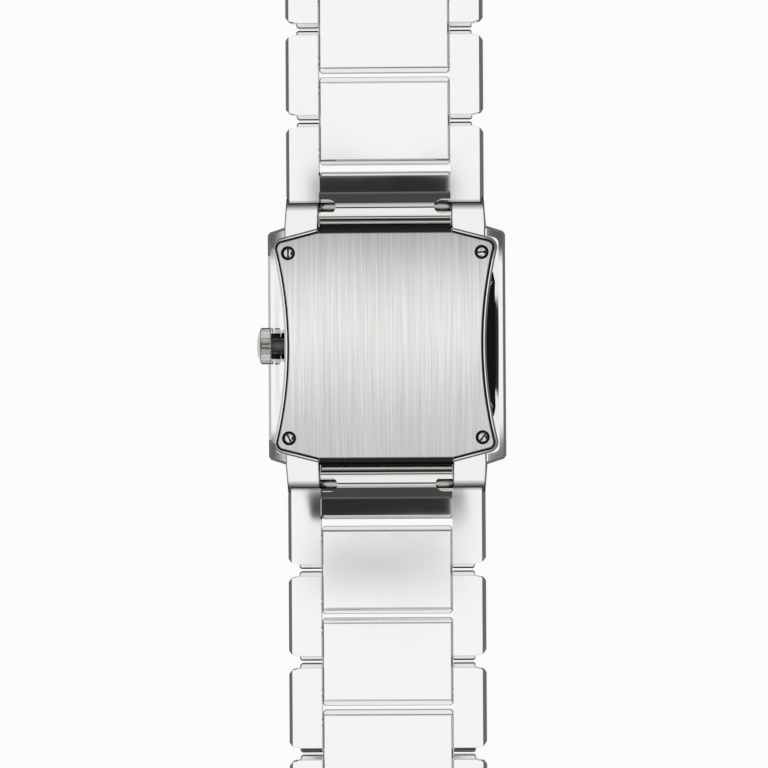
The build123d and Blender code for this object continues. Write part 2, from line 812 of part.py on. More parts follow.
# Bracelet
def spring_bar(side, name):
    """A sprung bar between the lugs, whose thin ends cross the notches and enter the lugs."""
    with BuildPart() as bar:
        with BuildSketch(pin_plane(side, bar_y, 0, 0)):
            Circle(bar_radius)
        extrude(amount=bar_shoulder_x, both=True)
        with BuildSketch(pin_plane(side, bar_y, 0, 0)):
            Circle(bar_tip_radius)
        extrude(amount=lug_inner_x + bar_tip_reach, both=True)
    save(bar, name)


def key_face(side, margin):
    """The section of the flat key that locks an end link to its outer links, grown by a margin."""
    with BuildSketch(side_plane(side)) as face:
        with Locations((key_u, -key_drop)):
            Rectangle(key_length + 2 * margin, key_height + 2 * margin)
    return face.sketch


def end_link(side, name):
    """The piece between the lugs: a barrel on the spring bar and a flat leaf, notched for the bar."""
    with BuildPart() as link:
        with BuildSketch(side_plane(side)):
            with Locations((end_barrel_u, 0)):
                Circle(end_barrel_radius)
            with BuildLine():
                facet_w = sqrt(end_barrel_radius**2 - (end_facet_u - end_barrel_u) ** 2)
                Polyline(
                    (end_barrel_u, -end_leaf_bottom),
                    (end_outer_u - end_edge_bevel, -end_leaf_bottom),
                    (end_outer_u, -end_leaf_bottom + end_edge_bevel),
                    (end_outer_u, end_leaf_top - end_edge_bevel),
                    (end_outer_u - end_edge_bevel, end_leaf_top),
                    (end_step_u, end_leaf_top),
                    (end_step_u - end_edge_bevel / 2, facet_w - end_edge_bevel / 2),
                    (end_facet_u, facet_w),
                    (end_barrel_u, facet_w),
                    close=True,
                )
            make_face()
        extrude(amount=end_half_width, both=True)
        with BuildSketch(Plane.XY.offset(bar_z - notch_floor)):
            for edge_x in (-end_half_width, end_half_width):
                with Locations((edge_x, side * bar_y)):
                    SlotOverall(2 * notch_depth, 2 * notch_half_width)
        extrude(amount=case_height, mode=Mode.SUBTRACT)
        with BuildSketch(pin_plane(side, bar_y, 0, 0)):
            Circle(bar_radius + running_gap)
        extrude(amount=end_half_width, both=True, mode=Mode.SUBTRACT)
        extrude(key_face(side, pin_fixed_gap), amount=end_half_width, both=True, mode=Mode.SUBTRACT)
    save(link, name)


def outer_plan(side, start_u, end_u, cut_start):
    """The outer link's plan on the +X side: a tongue on the inside, corners cut on the outside."""
    tongue_x = outer_inner_x + outer_tongue_width
    with BuildSketch(Plane.XY) as plan:
        with BuildLine():
            points = [
                (outer_inner_x, side * end_u),
                (tongue_x, side * end_u),
                (tongue_x, side * (end_u - outer_relief_length)),
                (outer_outer_x, side * (end_u - outer_corner_length)),
            ]
            if cut_start:
                points += [
                    (outer_outer_x, side * (start_u + outer_corner_length)),
                    (tongue_x, side * (start_u + outer_relief_length)),
                    (tongue_x, side * start_u),
                ]
            else:
                points += [(outer_outer_x, side * start_u)]
            points += [(outer_inner_x, side * start_u)]
            Polyline(*points, close=True)
        make_face()
        free = plan.vertices().filter_by(lambda v: abs(v.Y - side * start_u) > outer_corner_bevel)
        chamfer(free.filter_by(lambda v: v.X > tongue_x + inner_gap), length=outer_corner_bevel)
        tips = plan.vertices().filter_by(lambda v: abs(v.X - tongue_x) < inner_gap)
        tips = tips.sort_by(lambda v: abs(abs(v.Y) - (start_u + end_u) / 2))
        chamfer(tips[-2:] if cut_start else tips[-1:], length=tongue_corner_bevel)
    return plan.sketch


def outer_profile(side, start_u, end_u):
    """The outer link's side view, relieved on the wrist side at its free ends."""
    top = outer_half_height
    knee = outer_half_height - outer_relief_height
    bevel = outer_front_bevel
    with BuildSketch(side_plane(side)) as profile:
        with BuildLine():
            Polyline(
                (start_u + bevel, -top),
                (end_u - bevel, -top),
                (end_u, -top + bevel),
                (end_u, knee),
                (end_u - outer_relief_length, top),
                (start_u + outer_relief_length, top),
                (start_u, knee),
                (start_u, -top + bevel),
                close=True,
            )
        make_face()
    return profile.sketch


def first_outer_profile(side, end_u):
    """The first outer link's side view, whose near end is hollowed to turn round the lug's tip."""
    top = outer_half_height
    knee = outer_half_height - outer_relief_height
    bevel = outer_front_bevel
    seat_radius = lug_tip_radius + lug_seat_gap
    with BuildSketch(side_plane(side)) as profile:
        with BuildLine():
            Polyline(
                (bar_y, -top),
                (end_u - bevel, -top),
                (end_u, -top + bevel),
                (end_u, knee),
                (end_u - outer_relief_length, top),
                (bar_y, top),
                close=True,
            )
        make_face()
        with Locations((bar_y, 0)):
            Circle(seat_radius, mode=Mode.SUBTRACT)
    return profile.sketch


def outer_links(side, name, start_u, end_u, pins, first):
    """A pair of outer links, mirrored across the bracelet and joined by the pins pressed into them."""
    profile = first_outer_profile(side, end_u) if first else outer_profile(side, start_u, end_u)
    with BuildPart() as pair:
        extrude(profile, amount=outer_outer_x, both=True)
        long_edges = pair.edges().filter_by(Axis.Y).filter_by(lambda e: abs(e.center().X) > outer_inner_x)
        chamfer(long_edges, length=outer_edge_bevel)
        plan = outer_plan(side, start_u, end_u, not first)
        plans = plan + mirror(plan, about=Plane.YZ, mode=Mode.PRIVATE)
        extrude(plans, amount=2 * case_height, mode=Mode.INTERSECT)
        for pin_u in pins:
            add(cross_pin(side, pin_u, 0, pin_radius, outer_inner_x + pin_seat))
        if first:
            extrude(key_face(side, 0), amount=outer_inner_x + pin_seat, both=True)
    save(pair, name)


def centre_profile(side, inner_pin_u):
    """The centre link's side view, bevelled all round so that it can roll about its pins."""
    start_u = inner_pin_u - centre_overhang
    end_u = inner_pin_u + centre_pin_spacing + centre_overhang
    top = centre_half_height
    knee = centre_half_height - centre_bevel_height
    with BuildSketch(side_plane(side)) as profile:
        with BuildLine():
            Polyline(
                (start_u + centre_bevel_length, -top),
                (end_u - centre_bevel_length, -top),
                (end_u, -knee),
                (end_u, knee),
                (end_u - centre_bevel_length, top),
                (start_u + centre_bevel_length, top),
                (start_u, knee),
                (start_u, -knee),
                close=True,
            )
        make_face()
    return profile.sketch


def centre_link(side, name, inner_pin_u, notched):
    """A centre link with a bore for the pin at each end. The last one may be notched for a blade."""
    with BuildPart() as link:
        extrude(centre_profile(side, inner_pin_u), amount=centre_half_width, both=True)
        long_edges = link.edges().filter_by(Axis.Y)
        chamfer(long_edges, length=centre_edge_bevel)
        with BuildSketch(Plane.XY) as plan:
            with Locations((0, side * (inner_pin_u + centre_pin_spacing / 2))):
                Rectangle(2 * centre_half_width, centre_pin_spacing + 2 * centre_overhang)
            chamfer(plan.vertices(), length=centre_corner_bevel)
        extrude(amount=2 * case_height, mode=Mode.INTERSECT)
        for pin_u in (inner_pin_u, inner_pin_u + centre_pin_spacing):
            with BuildSketch(pin_plane(side, pin_u, 0, 0)):
                Circle(pin_bore)
            extrude(amount=centre_half_width, both=True, mode=Mode.SUBTRACT)
        if notched:
            notch_u = inner_pin_u + centre_pin_spacing
            notch_reach = end_knuckle_radius + inner_gap
            with BuildSketch(side_plane(side)):
                with Locations((notch_u + centre_overhang / 2, 0)):
                    Rectangle(2 * notch_reach + centre_overhang, 4 * centre_half_height)
            extrude(amount=inner_blade_half + blade_side_gap, both=True, mode=Mode.SUBTRACT)
    save(link, name)


for side, hour_name in ((1, "12"), (-1, "6")):
    spring_bar(side, f"spring_bar_{hour_name}")
    end_link(side, f"end_link_{hour_name}")
    first_end = first_pin_u + outer_overhang
    outer_links(side, f"outer_links_{hour_name}_1", bar_y, first_end, [first_pin_u], True)
    for number in range(1, links_per_side + 1):
        inner_pin = first_pin_u + (number - 1) * pair_pitch
        blade_end = side == 1 and number == links_per_side
        centre_link(side, f"centre_link_{hour_name}_{number}", inner_pin, blade_end)
        if number == links_per_side:
            continue
        near_pin = inner_pin + centre_pin_spacing
        far_pin = near_pin + outer_pin_spacing
        pair_name = f"outer_links_{hour_name}_{number + 1}"
        pair_start = near_pin - outer_overhang
        outer_links(side, pair_name, pair_start, far_pin + outer_overhang, [near_pin, far_pin], False)

# Clasp. Its length is what the two sides leave when every link is turned fully to the wrist.
# Along it, s runs from the last pin of the 6 side to the last pin of the 12 side.
closed_y = bar_y
heading = link_turn
steps = [first_pin_u - bar_y] + [centre_pin_spacing, outer_pin_spacing] * links_per_side
for step in steps[:-1]:
    closed_y += step * cos(radians(heading))
    heading += link_turn
clasp_span = 2 * closed_y
bow_radius = (closed_y**2 + clasp_bow**2) / (2 * clasp_bow)
leaf_top = cover_thickness - cover_half_height
middle_low = leaf_top + blade_gap
middle_high = middle_low + blade_thickness
inner_low = middle_high + blade_gap
inner_high = inner_low + blade_thickness
fold_s = fold_inset
fold_offset = (middle_high + inner_low) / 2
eye_s = clasp_span - eye_inset
eye_offset = leaf_top + blade_gap / 2 + eye_radius


def clasp_point(side, s, offset):
    """A point of the clasp's side view, offset from its bowed middle line towards the wrist."""
    u = last_pin_u + (s if side < 0 else clasp_span - s)
    drop = sqrt((bow_radius - offset) ** 2 - (s - closed_y) ** 2)
    return (u, bow_radius - clasp_bow - drop)


def bow_band(side, start_s, end_s, low, high, x=0.0):
    """A bowed strip of the clasp's side view between two offsets, on a plane at x."""
    middle_s = (start_s + end_s) / 2
    with BuildSketch(side_plane(side, x)) as band:
        with BuildLine():
            low_start = clasp_point(side, start_s, low)
            low_end = clasp_point(side, end_s, low)
            high_start = clasp_point(side, start_s, high)
            high_end = clasp_point(side, end_s, high)
            ThreePointArc(low_start, clasp_point(side, middle_s, low), low_end)
            Line(low_end, high_end)
            ThreePointArc(high_end, clasp_point(side, middle_s, high), high_start)
            Line(high_start, low_start)
        make_face()
    return band.sketch


def clasp_disc(side, s, offset, radius, x=0.0):
    """A round section across the clasp, on a plane at x."""
    with BuildSketch(side_plane(side, x)) as disc:
        with Locations(clasp_point(side, s, offset)):
            Circle(radius)
    return disc.sketch


# Cover: a bowed channel with a pair of solid ears at each end
with BuildPart() as clasp_cover:
    far_s = clasp_span + cover_far_overhang
    shell = bow_band(-1, -outer_overhang, far_s, -cover_half_height, cover_wall_top)
    extrude(shell, amount=outer_outer_x, both=True)
    outer_arcs = clasp_cover.edges().filter_by(GeomType.CIRCLE).filter_by(lambda e: e.radius > bow_radius)
    chamfer(outer_arcs, length=outer_edge_bevel)
    slot_end = centre_overhang + cover_end_gap
    for start_s, end_s in ((-case_height, slot_end), (clasp_span - slot_end, clasp_span + case_height)):
        slot = bow_band(-1, start_s, end_s, -case_height, case_height)
        extrude(slot, amount=outer_inner_x, both=True, mode=Mode.SUBTRACT)
    throat = bow_band(-1, 0, clasp_span, leaf_top, case_height)
    extrude(throat, amount=outer_inner_x, both=True, mode=Mode.SUBTRACT)
    pocket_start = slot_end + cover_side_wall
    pocket = bow_band(-1, pocket_start, clasp_span - pocket_start, leaf_top, case_height)
    extrude(pocket, amount=outer_outer_x - cover_side_wall, both=True, mode=Mode.SUBTRACT)
    ear_start = eye_s - eye_radius
    ear = bow_band(-1, ear_start, eye_s + eye_radius, leaf_top - blade_gap, cover_wall_top)
    ear_outer_x = ear_inner_x + stud_ear_thickness
    extrude(ear, amount=ear_outer_x, both=True)
    ear_gap = bow_band(-1, ear_start - blade_gap, eye_s + 2 * eye_radius, leaf_top, case_height)
    extrude(ear_gap, amount=ear_inner_x, both=True, mode=Mode.SUBTRACT)
    stud_hole = clasp_disc(-1, eye_s, eye_offset, stud_radius + pin_fixed_gap)
    extrude(stud_hole, amount=ear_outer_x, both=True, mode=Mode.SUBTRACT)
    pin_hole = clasp_disc(-1, 0, 0, pin_radius + pin_fixed_gap)
    extrude(pin_hole, amount=outer_outer_x, both=True, mode=Mode.SUBTRACT)
save(clasp_cover, "clasp_cover")

with BuildPart() as clasp_cover_pin:
    extrude(clasp_disc(-1, 0, 0, pin_radius), amount=outer_outer_x - pin_recess, both=True)
save(clasp_cover_pin, "clasp_cover_pin")

with BuildPart() as clasp_pivot_studs:
    extrude(clasp_disc(-1, eye_s, eye_offset, stud_radius), amount=ear_outer_x, both=True)
    with BuildSketch(side_plane(-1)):
        with Locations(clasp_point(-1, eye_s, eye_offset)):
            Rectangle(4 * stud_radius, 4 * stud_radius)
    extrude(amount=arm_inner_x, both=True, mode=Mode.SUBTRACT)
save(clasp_pivot_studs, "clasp_pivot_studs")

# Middle blade: hinged to the inner blade at the fold, with an eye on each arm for the cover's studs
with BuildPart() as clasp_middle_blade:
    web_start = fold_s + fold_knuckle_radius + blade_side_gap
    extrude(bow_band(1, fold_s, eye_s, middle_low, middle_high), amount=middle_blade_half, both=True)
    for s, offset, radius in (
        (fold_s, fold_offset, fold_knuckle_radius),
        (eye_s, eye_offset, eye_radius),
    ):
        extrude(clasp_disc(1, s, offset, radius), amount=middle_blade_half, both=True)
    for start_s, end_s, half in (
        (0, web_start, inner_blade_half + blade_side_gap),
        (eye_s - 2 * eye_radius, clasp_span, arm_inner_x),
    ):
        opening = bow_band(1, start_s, end_s, -case_height, case_height)
        extrude(opening, amount=half, both=True, mode=Mode.SUBTRACT)
    fold_hole = clasp_disc(1, fold_s, fold_offset, fold_pin_radius + pin_fixed_gap)
    extrude(fold_hole, amount=middle_blade_half, both=True, mode=Mode.SUBTRACT)
    eye_hole = clasp_disc(1, eye_s, eye_offset, eye_bore_radius)
    extrude(eye_hole, amount=middle_blade_half, both=True, mode=Mode.SUBTRACT)
save(clasp_middle_blade, "clasp_middle_blade")

with BuildPart() as clasp_fold_pin:
    extrude(clasp_disc(1, fold_s, fold_offset, fold_pin_radius), amount=middle_blade_half, both=True)
save(clasp_fold_pin, "clasp_fold_pin")

# Inner blade: hinged in the notch of the last link of the 12 side
with BuildPart() as clasp_inner_blade:
    extrude(bow_band(1, fold_s, clasp_span, inner_low, inner_high), amount=inner_blade_half, both=True)
    extrude(clasp_disc(1, fold_s, fold_offset, fold_knuckle_radius), amount=inner_blade_half, both=True)
    extrude(clasp_disc(1, clasp_span, 0, end_knuckle_radius), amount=inner_blade_half, both=True)
    fold_hole = clasp_disc(1, fold_s, fold_offset, fold_pin_radius + running_gap)
    extrude(fold_hole, amount=inner_blade_half, both=True, mode=Mode.SUBTRACT)
    end_hole = clasp_disc(1, clasp_span, 0, pin_radius + pin_fixed_gap)
    extrude(end_hole, amount=inner_blade_half, both=True, mode=Mode.SUBTRACT)
save(clasp_inner_blade, "clasp_inner_blade")

with BuildPart() as clasp_end_pin:
    extrude(clasp_disc(1, clasp_span, 0, pin_radius), amount=centre_half_width - pin_recess, both=True)
save(clasp_end_pin, "clasp_end_pin")

# Places of the joints, for the record
print("spring bars y", bar_y, "z", bar_z)
print("link pins u", [round(first_pin_u + n * pair_pitch, 3) for n in range(links_per_side)])
print("last pin u", round(last_pin_u, 3), "clasp span", round(clasp_span, 4))
print("fold axis on the 12 side", clasp_point(1, fold_s, fold_offset))
print("crown axis z", crown_z, "bow radius", round(bow_radius, 2))
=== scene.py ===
# %% [markdown]
# # A steel dress watch, seen from behind
# The watch lies on its crystal with the case back up, as a workshop photograph shows it. The engineering
# model already holds every piece at its true size, so this lesson adds what the eye wants: the finish of
# each metal, softened edges, the small fasteners, the print on the dial, and a plain white studio.
#
# The frame is loaded first. Everything in Blender is in metres, in the frame of the engineering model,
# and the box round the model is kept, because the finished watch has to stay inside it.

# %% Load the frame
import json
import math

import bpy
from mathutils import Matrix, Vector

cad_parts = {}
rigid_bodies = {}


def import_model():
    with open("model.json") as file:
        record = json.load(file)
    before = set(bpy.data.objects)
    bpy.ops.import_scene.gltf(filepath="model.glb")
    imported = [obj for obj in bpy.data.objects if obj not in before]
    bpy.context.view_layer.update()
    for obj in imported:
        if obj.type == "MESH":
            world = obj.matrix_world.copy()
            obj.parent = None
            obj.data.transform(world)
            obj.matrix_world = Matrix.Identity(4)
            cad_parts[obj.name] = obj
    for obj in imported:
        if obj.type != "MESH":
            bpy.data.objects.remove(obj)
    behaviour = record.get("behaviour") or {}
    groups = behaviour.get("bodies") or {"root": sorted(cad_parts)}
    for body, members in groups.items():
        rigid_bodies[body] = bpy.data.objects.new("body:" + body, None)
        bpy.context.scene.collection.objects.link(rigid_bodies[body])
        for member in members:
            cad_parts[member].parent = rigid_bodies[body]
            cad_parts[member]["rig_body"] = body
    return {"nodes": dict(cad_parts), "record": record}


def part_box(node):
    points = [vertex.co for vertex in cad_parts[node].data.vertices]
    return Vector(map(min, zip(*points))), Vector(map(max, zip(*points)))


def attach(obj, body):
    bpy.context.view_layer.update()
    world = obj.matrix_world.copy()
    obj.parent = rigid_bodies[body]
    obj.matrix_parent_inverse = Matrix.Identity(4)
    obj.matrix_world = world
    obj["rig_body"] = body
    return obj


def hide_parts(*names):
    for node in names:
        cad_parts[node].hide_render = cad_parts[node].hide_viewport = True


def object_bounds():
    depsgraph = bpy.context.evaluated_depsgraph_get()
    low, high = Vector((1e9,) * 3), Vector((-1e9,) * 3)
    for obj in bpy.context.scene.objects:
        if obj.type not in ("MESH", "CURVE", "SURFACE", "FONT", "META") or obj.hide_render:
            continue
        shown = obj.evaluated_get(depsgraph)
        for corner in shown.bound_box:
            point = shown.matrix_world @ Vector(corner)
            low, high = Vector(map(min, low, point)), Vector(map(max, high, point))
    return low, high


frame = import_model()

cad_low, cad_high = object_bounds()
MM = 0.001
nodes = frame["nodes"]
print("nodes", len(nodes), "box in mm", [round(v / MM, 2) for v in (*cad_low, *cad_high)])

# %% [markdown]
# ## Camera
# The photograph looks straight down on the case back, from a little to the right, so the right flank of
# the case shows more than the left one. A long lens far away keeps the sides nearly parallel. The camera
# could be placed by eye, but three numbers measured in the picture fix it better: how many pixels a
# millimetre covers, and where the centre of the case back lies in the frame.

# %% Place the camera
IMAGE_SIZE = 768
PIXELS_PER_MM = 9.5
BACK_CENTRE_PIXEL = (385.5, 345.2)
CAMERA_DISTANCE = 600 * MM
CAMERA_TILT = math.radians(2.0)
CAMERA_ROLL = math.radians(-0.35)
SENSOR_WIDTH = 36.0

back_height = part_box("case_back")[1][2]
target = Vector((
    (IMAGE_SIZE / 2 - BACK_CENTRE_PIXEL[0]) / PIXELS_PER_MM * MM,
    (BACK_CENTRE_PIXEL[1] - IMAGE_SIZE / 2) / PIXELS_PER_MM * MM,
    back_height,
))
towards_camera = Vector((math.sin(CAMERA_TILT), 0, math.cos(CAMERA_TILT)))
camera_data = bpy.data.cameras.new("camera")
camera = bpy.data.objects.new("camera", camera_data)
bpy.context.scene.collection.objects.link(camera)
camera.location = target + CAMERA_DISTANCE * towards_camera
tilt = Matrix.Rotation(CAMERA_TILT, 3, "Y")
roll = Matrix.Rotation(CAMERA_ROLL, 3, "Z")
camera.rotation_euler = (tilt @ roll).to_euler()
camera_data.sensor_width = SENSOR_WIDTH
camera_data.lens = SENSOR_WIDTH * CAMERA_DISTANCE / (IMAGE_SIZE / PIXELS_PER_MM * MM)
camera_data.clip_start = 10 * MM
camera_data.clip_end = 10
bpy.context.scene.camera = camera
bpy.context.scene.view_settings.view_transform = "Standard"
print("lens", round(camera_data.lens, 1), "mm")

# %% [markdown]
# ## Node helper
# Every finish below is a small graph of shader nodes. One function adds a node, sets its sockets and
# links what feeds it, so that a material reads as a list of what it is made of. Another turns a colour
# written as on the web into the linear values that Blender works in.

# %% Helpers for materials


def linear(hex_colour):
    """The linear colour of an sRGB hex value such as "c8c6c2"."""
    channels = [int(hex_colour[i:i + 2], 16) / 255 for i in (0, 2, 4)]
    return (*[c / 12.92 if c <= 0.04045 else ((c + 0.055) / 1.055) ** 2.4 for c in channels], 1.0)


def add_node(tree, kind, inputs=(), **settings):
    """Adds a node, sets its properties, and gives each named input a value or a link."""
    node = tree.nodes.new(kind)
    for name, value in settings.items():
        setattr(node, name, value)
    for name, value in dict(inputs).items():
        if isinstance(value, bpy.types.NodeSocket):
            tree.links.new(value, node.inputs[name])
        else:
            node.inputs[name].default_value = value
    return node


def new_material(name):
    """An empty node material and its tree."""
    material = bpy.data.materials.new(name)
    material.use_nodes = True
    material.node_tree.nodes.clear()
    return material, material.node_tree


def set_ramp(node, stops):
    """Gives a colour ramp its stops, as pairs of position and grey or colour."""
    ramp = node.color_ramp
    while len(ramp.elements) < len(stops):
        ramp.elements.new(0.5)
    for element, (position, value) in zip(ramp.elements, stops):
        element.position = position
        element.color = value if isinstance(value, tuple) else (value, value, value, 1.0)


print("helpers ready")

# %% [markdown]
# ## Steel
# The case and the bracelet are 316L stainless steel, a slightly warm, bright metal. Three things tell the
# eye how it was worked: how far the reflection is blurred, which way the fine scratches run, and how the
# blur changes where hands have rubbed it. So one function makes every steel here from those values:
# the grain is a noise stretched along the scratches, its pitch is given in millimetres, and a second,
# broad noise lets the polish vary. Scratches finer than a pixel are drawn about 0.1 mm wide, so they show.
# Some places get painted shade, a darker colour that stands for shade: the pocket between the lugs, the
# tips of the lugs, the seam of the first links and the two ends of the case back. Boxes and a fall of grey
# along the piece paint it, both given in the piece's own millimetres.

# %% Steel finishes
STEEL_COLOUR = "f4f3f2"
LINK_COLOUR = "f5f4f3"
COARSE_SHARE = 0.55
COARSE_OFFSET = (3.1, 1.7, 0.4)
BROAD_SIZE = 9 * MM
BUMP_DISTANCE = 0.02 * MM


def box_mask(tree, place, low_mm, high_mm, soft_mm):
    """One inside a box of a piece's own coordinates and zero outside, softened at its faces."""
    axes = add_node(tree, "ShaderNodeSeparateXYZ", {"Vector": place})
    inside = 1.0
    for axis, low, high in zip("XYZ", low_mm, high_mm):
        middle = add_node(tree, "ShaderNodeMath", {
            0: axes.outputs[axis], 1: (low + high) / 2 * MM,
        }, operation="SUBTRACT")
        away = add_node(tree, "ShaderNodeMath", {0: middle.outputs[0]}, operation="ABSOLUTE")
        half_size = (high - low) / 2
        near = add_node(tree, "ShaderNodeMapRange", {
            "Value": away.outputs[0],
            "From Min": (half_size + soft_mm) * MM, "From Max": (half_size - soft_mm) * MM,
        })
        inside = add_node(tree, "ShaderNodeMath", {
            0: near.outputs[0], 1: inside,
        }, operation="MULTIPLY").outputs[0]
    return inside


def steel(name, colour, roughness, grain_mm, stretch, grain_depth, tone, wear=0.04, ends=(), shaded=()):
    """A steel whose grain runs along the axis that stretch makes long, with tone as its light and dark."""
    material, tree = new_material(name)
    place = add_node(tree, "ShaderNodeTexCoord").outputs["Object"]
    frequency = 1 / (grain_mm * MM)
    scale = tuple(frequency / s for s in stretch)
    turned = add_node(tree, "ShaderNodeMapping", {"Vector": place, "Scale": scale}).outputs["Vector"]
    fine = add_node(tree, "ShaderNodeTexNoise", {
        "Vector": turned, "Scale": 1.0, "Detail": 5.0, "Roughness": 0.62,
    })
    coarse_place = add_node(tree, "ShaderNodeMapping", {
        "Vector": place, "Scale": tuple(v * COARSE_SHARE for v in scale), "Location": COARSE_OFFSET,
    })
    coarse = add_node(tree, "ShaderNodeTexNoise", {
        "Vector": coarse_place.outputs["Vector"], "Scale": 1.0, "Detail": 3.0,
    })
    broad = add_node(tree, "ShaderNodeTexNoise", {"Vector": place, "Scale": 1 / BROAD_SIZE, "Detail": 2.0})
    both = add_node(tree, "ShaderNodeMath", {
        0: fine.outputs["Fac"], 1: coarse.outputs["Fac"],
    }, operation="ADD")
    half = add_node(tree, "ShaderNodeMath", {0: both.outputs[0], 1: 0.5}, operation="MULTIPLY")
    base = linear(colour)
    light = tuple(min(1.0, c * (1 + tone)) for c in base[:3]) + (1.0,)
    dark = tuple(c * (1 - tone) for c in base[:3]) + (1.0,)
    colour_ramp = add_node(tree, "ShaderNodeValToRGB", {"Fac": half.outputs[0]})
    set_ramp(colour_ramp, [(0.36, dark), (0.5, base), (0.64, light)])
    toned = colour_ramp.outputs["Color"]
    # The ends paint shade into the colour: a fall of grey along Y multiplies it.
    if ends:
        along = add_node(tree, "ShaderNodeSeparateXYZ", {"Vector": place})
        share = add_node(tree, "ShaderNodeMapRange", {
            "Value": along.outputs["Y"], "From Min": ends[0][0] * MM, "From Max": ends[-1][0] * MM,
        })
        fall = add_node(tree, "ShaderNodeValToRGB", {"Fac": share.outputs["Result"]})
        length = ends[-1][0] - ends[0][0]
        set_ramp(fall, [((at - ends[0][0]) / length, grey) for at, grey in ends])
        fall.color_ramp.interpolation = "B_SPLINE"
        toned = add_node(tree, "ShaderNodeMixRGB", {
            "Fac": 1.0, "Color1": toned, "Color2": fall.outputs["Color"],
        }, blend_type="MULTIPLY").outputs["Color"]
    # Each shaded box paints shade into the colour, darker inside the box.
    for low_mm, high_mm, soft_mm, grey in shaded:
        toned = add_node(tree, "ShaderNodeMixRGB", {
            "Fac": box_mask(tree, place, low_mm, high_mm, soft_mm),
            "Color1": toned, "Color2": (grey, grey, grey, 1),
        }).outputs["Color"]
    blur = add_node(tree, "ShaderNodeMapRange", {
        "Value": broad.outputs["Fac"], "From Min": 0.3, "From Max": 0.7,
        "To Min": max(0.004, roughness - wear), "To Max": roughness + wear,
    })
    bump = add_node(tree, "ShaderNodeBump", {
        "Height": half.outputs[0], "Strength": grain_depth, "Distance": BUMP_DISTANCE,
    })
    shader = add_node(tree, "ShaderNodeBsdfPrincipled", {
        "Base Color": toned, "Metallic": 1.0,
        "Roughness": blur.outputs["Result"], "Normal": bump.outputs["Normal"],
    })
    out = add_node(tree, "ShaderNodeOutputMaterial")
    tree.links.new(shader.outputs["BSDF"], out.inputs["Surface"])
    return material


# Each box of painted shade is its low corner, its high corner, its softness and its grey.
POCKET_PAINTED_SHADE = [
    ((-8.4, -15, 0), (8.4, -11.7, 4.5), 0.1, 0.02), ((-8.4, 11.7, 0), (8.4, 15, 4.5), 0.1, 0.02),
    ((-12, 14.5, 3), (12, 16.5, 8), 0.3, 0.12), ((-12, -16.5, 3), (12, -14.5, 8), 0.3, 0.12),
]
# Painted shade in the seam between the lugs and the first links, on the first links' steel.
SEAT_SEAM_PAINTED_SHADE = [((-12, 14.4, 3), (12, 15.15, 8), 0.22, 0.1), ((-12, -15.15, 3), (12, -14.4, 8), 0.22, 0.1)]
polished = steel(
    "polished_316l_steel", STEEL_COLOUR, 0.02, 0.35, (1, 1, 1), 0.0, 0.01, 0.01, shaded=POCKET_PAINTED_SHADE,
)
link_polish = steel("polished_link_steel", LINK_COLOUR, 0.03, 0.6, (1, 1, 1), 0.0, 0.006, 0.015)
seat_link_painted_shade = steel(
    "polished_seat_link_steel_painted_shade", LINK_COLOUR, 0.03, 0.6, (1, 1, 1), 0.0, 0.006, 0.015, shaded=SEAT_SEAM_PAINTED_SHADE,
)
# The painted shade along the case back, darker towards both ends: a distance along Y, and the share of light
# there.
BACK_PAINTED_SHADE_FALL = [(-12, 0.72), (-6, 0.8), (-1, 0.97), (1.5, 1.0), (5, 0.97), (8.5, 0.8), (12, 0.55)]
back_brush = steel(
    "straight_brushed_case_back", "eeedeb", 0.34, 0.1, (1, 90, 1), 0.25, 0.155, 0.03, ends=BACK_PAINTED_SHADE_FALL,
)
end_polish = steel("mirror_polished_end_link", "eeedeb", 0.01, 0.4, (4, 1, 1), 0.0, 0.01, 0.004)
blade_brush = steel("pressed_blade_steel", "d2d0cd", 0.22, 0.08, (1, 30, 1), 0.2, 0.05, 0.04)
pin_steel = steel("ground_pin_steel", "bab8b5", 0.16, 0.1, (12, 1, 1), 0.1, 0.04, 0.04)
screw_steel = steel("polished_screw_steel", "e6e4e2", 0.05, 0.2, (1, 1, 1), 0.02, 0.02, 0.02)
hand_steel = steel("blued_steel_hands", "2b3850", 0.08, 0.3, (1, 1, 1), 0.0, 0.04, 0.03)
crown_steel = steel("turned_crown_steel", "c6c4c1", 0.1, 0.12, (1, 6, 6), 0.05, 0.03, 0.04)
print("steels", len(bpy.data.materials))

# %% [markdown]
# ## The other materials
# Inside the case are a lacquered dial, nylon gaskets, a moulded plastic ring, brass, a silver-oxide cell,
# a circuit board and a coil of lacquered copper wire. Most of them are never seen, but each still gets
# its own surface, because the watch can be opened up or drawn in section. A coated or moulded surface is
# a plain shader with a fine noise in its colour, its gloss and its height.

# %% Coated, moulded and printed materials


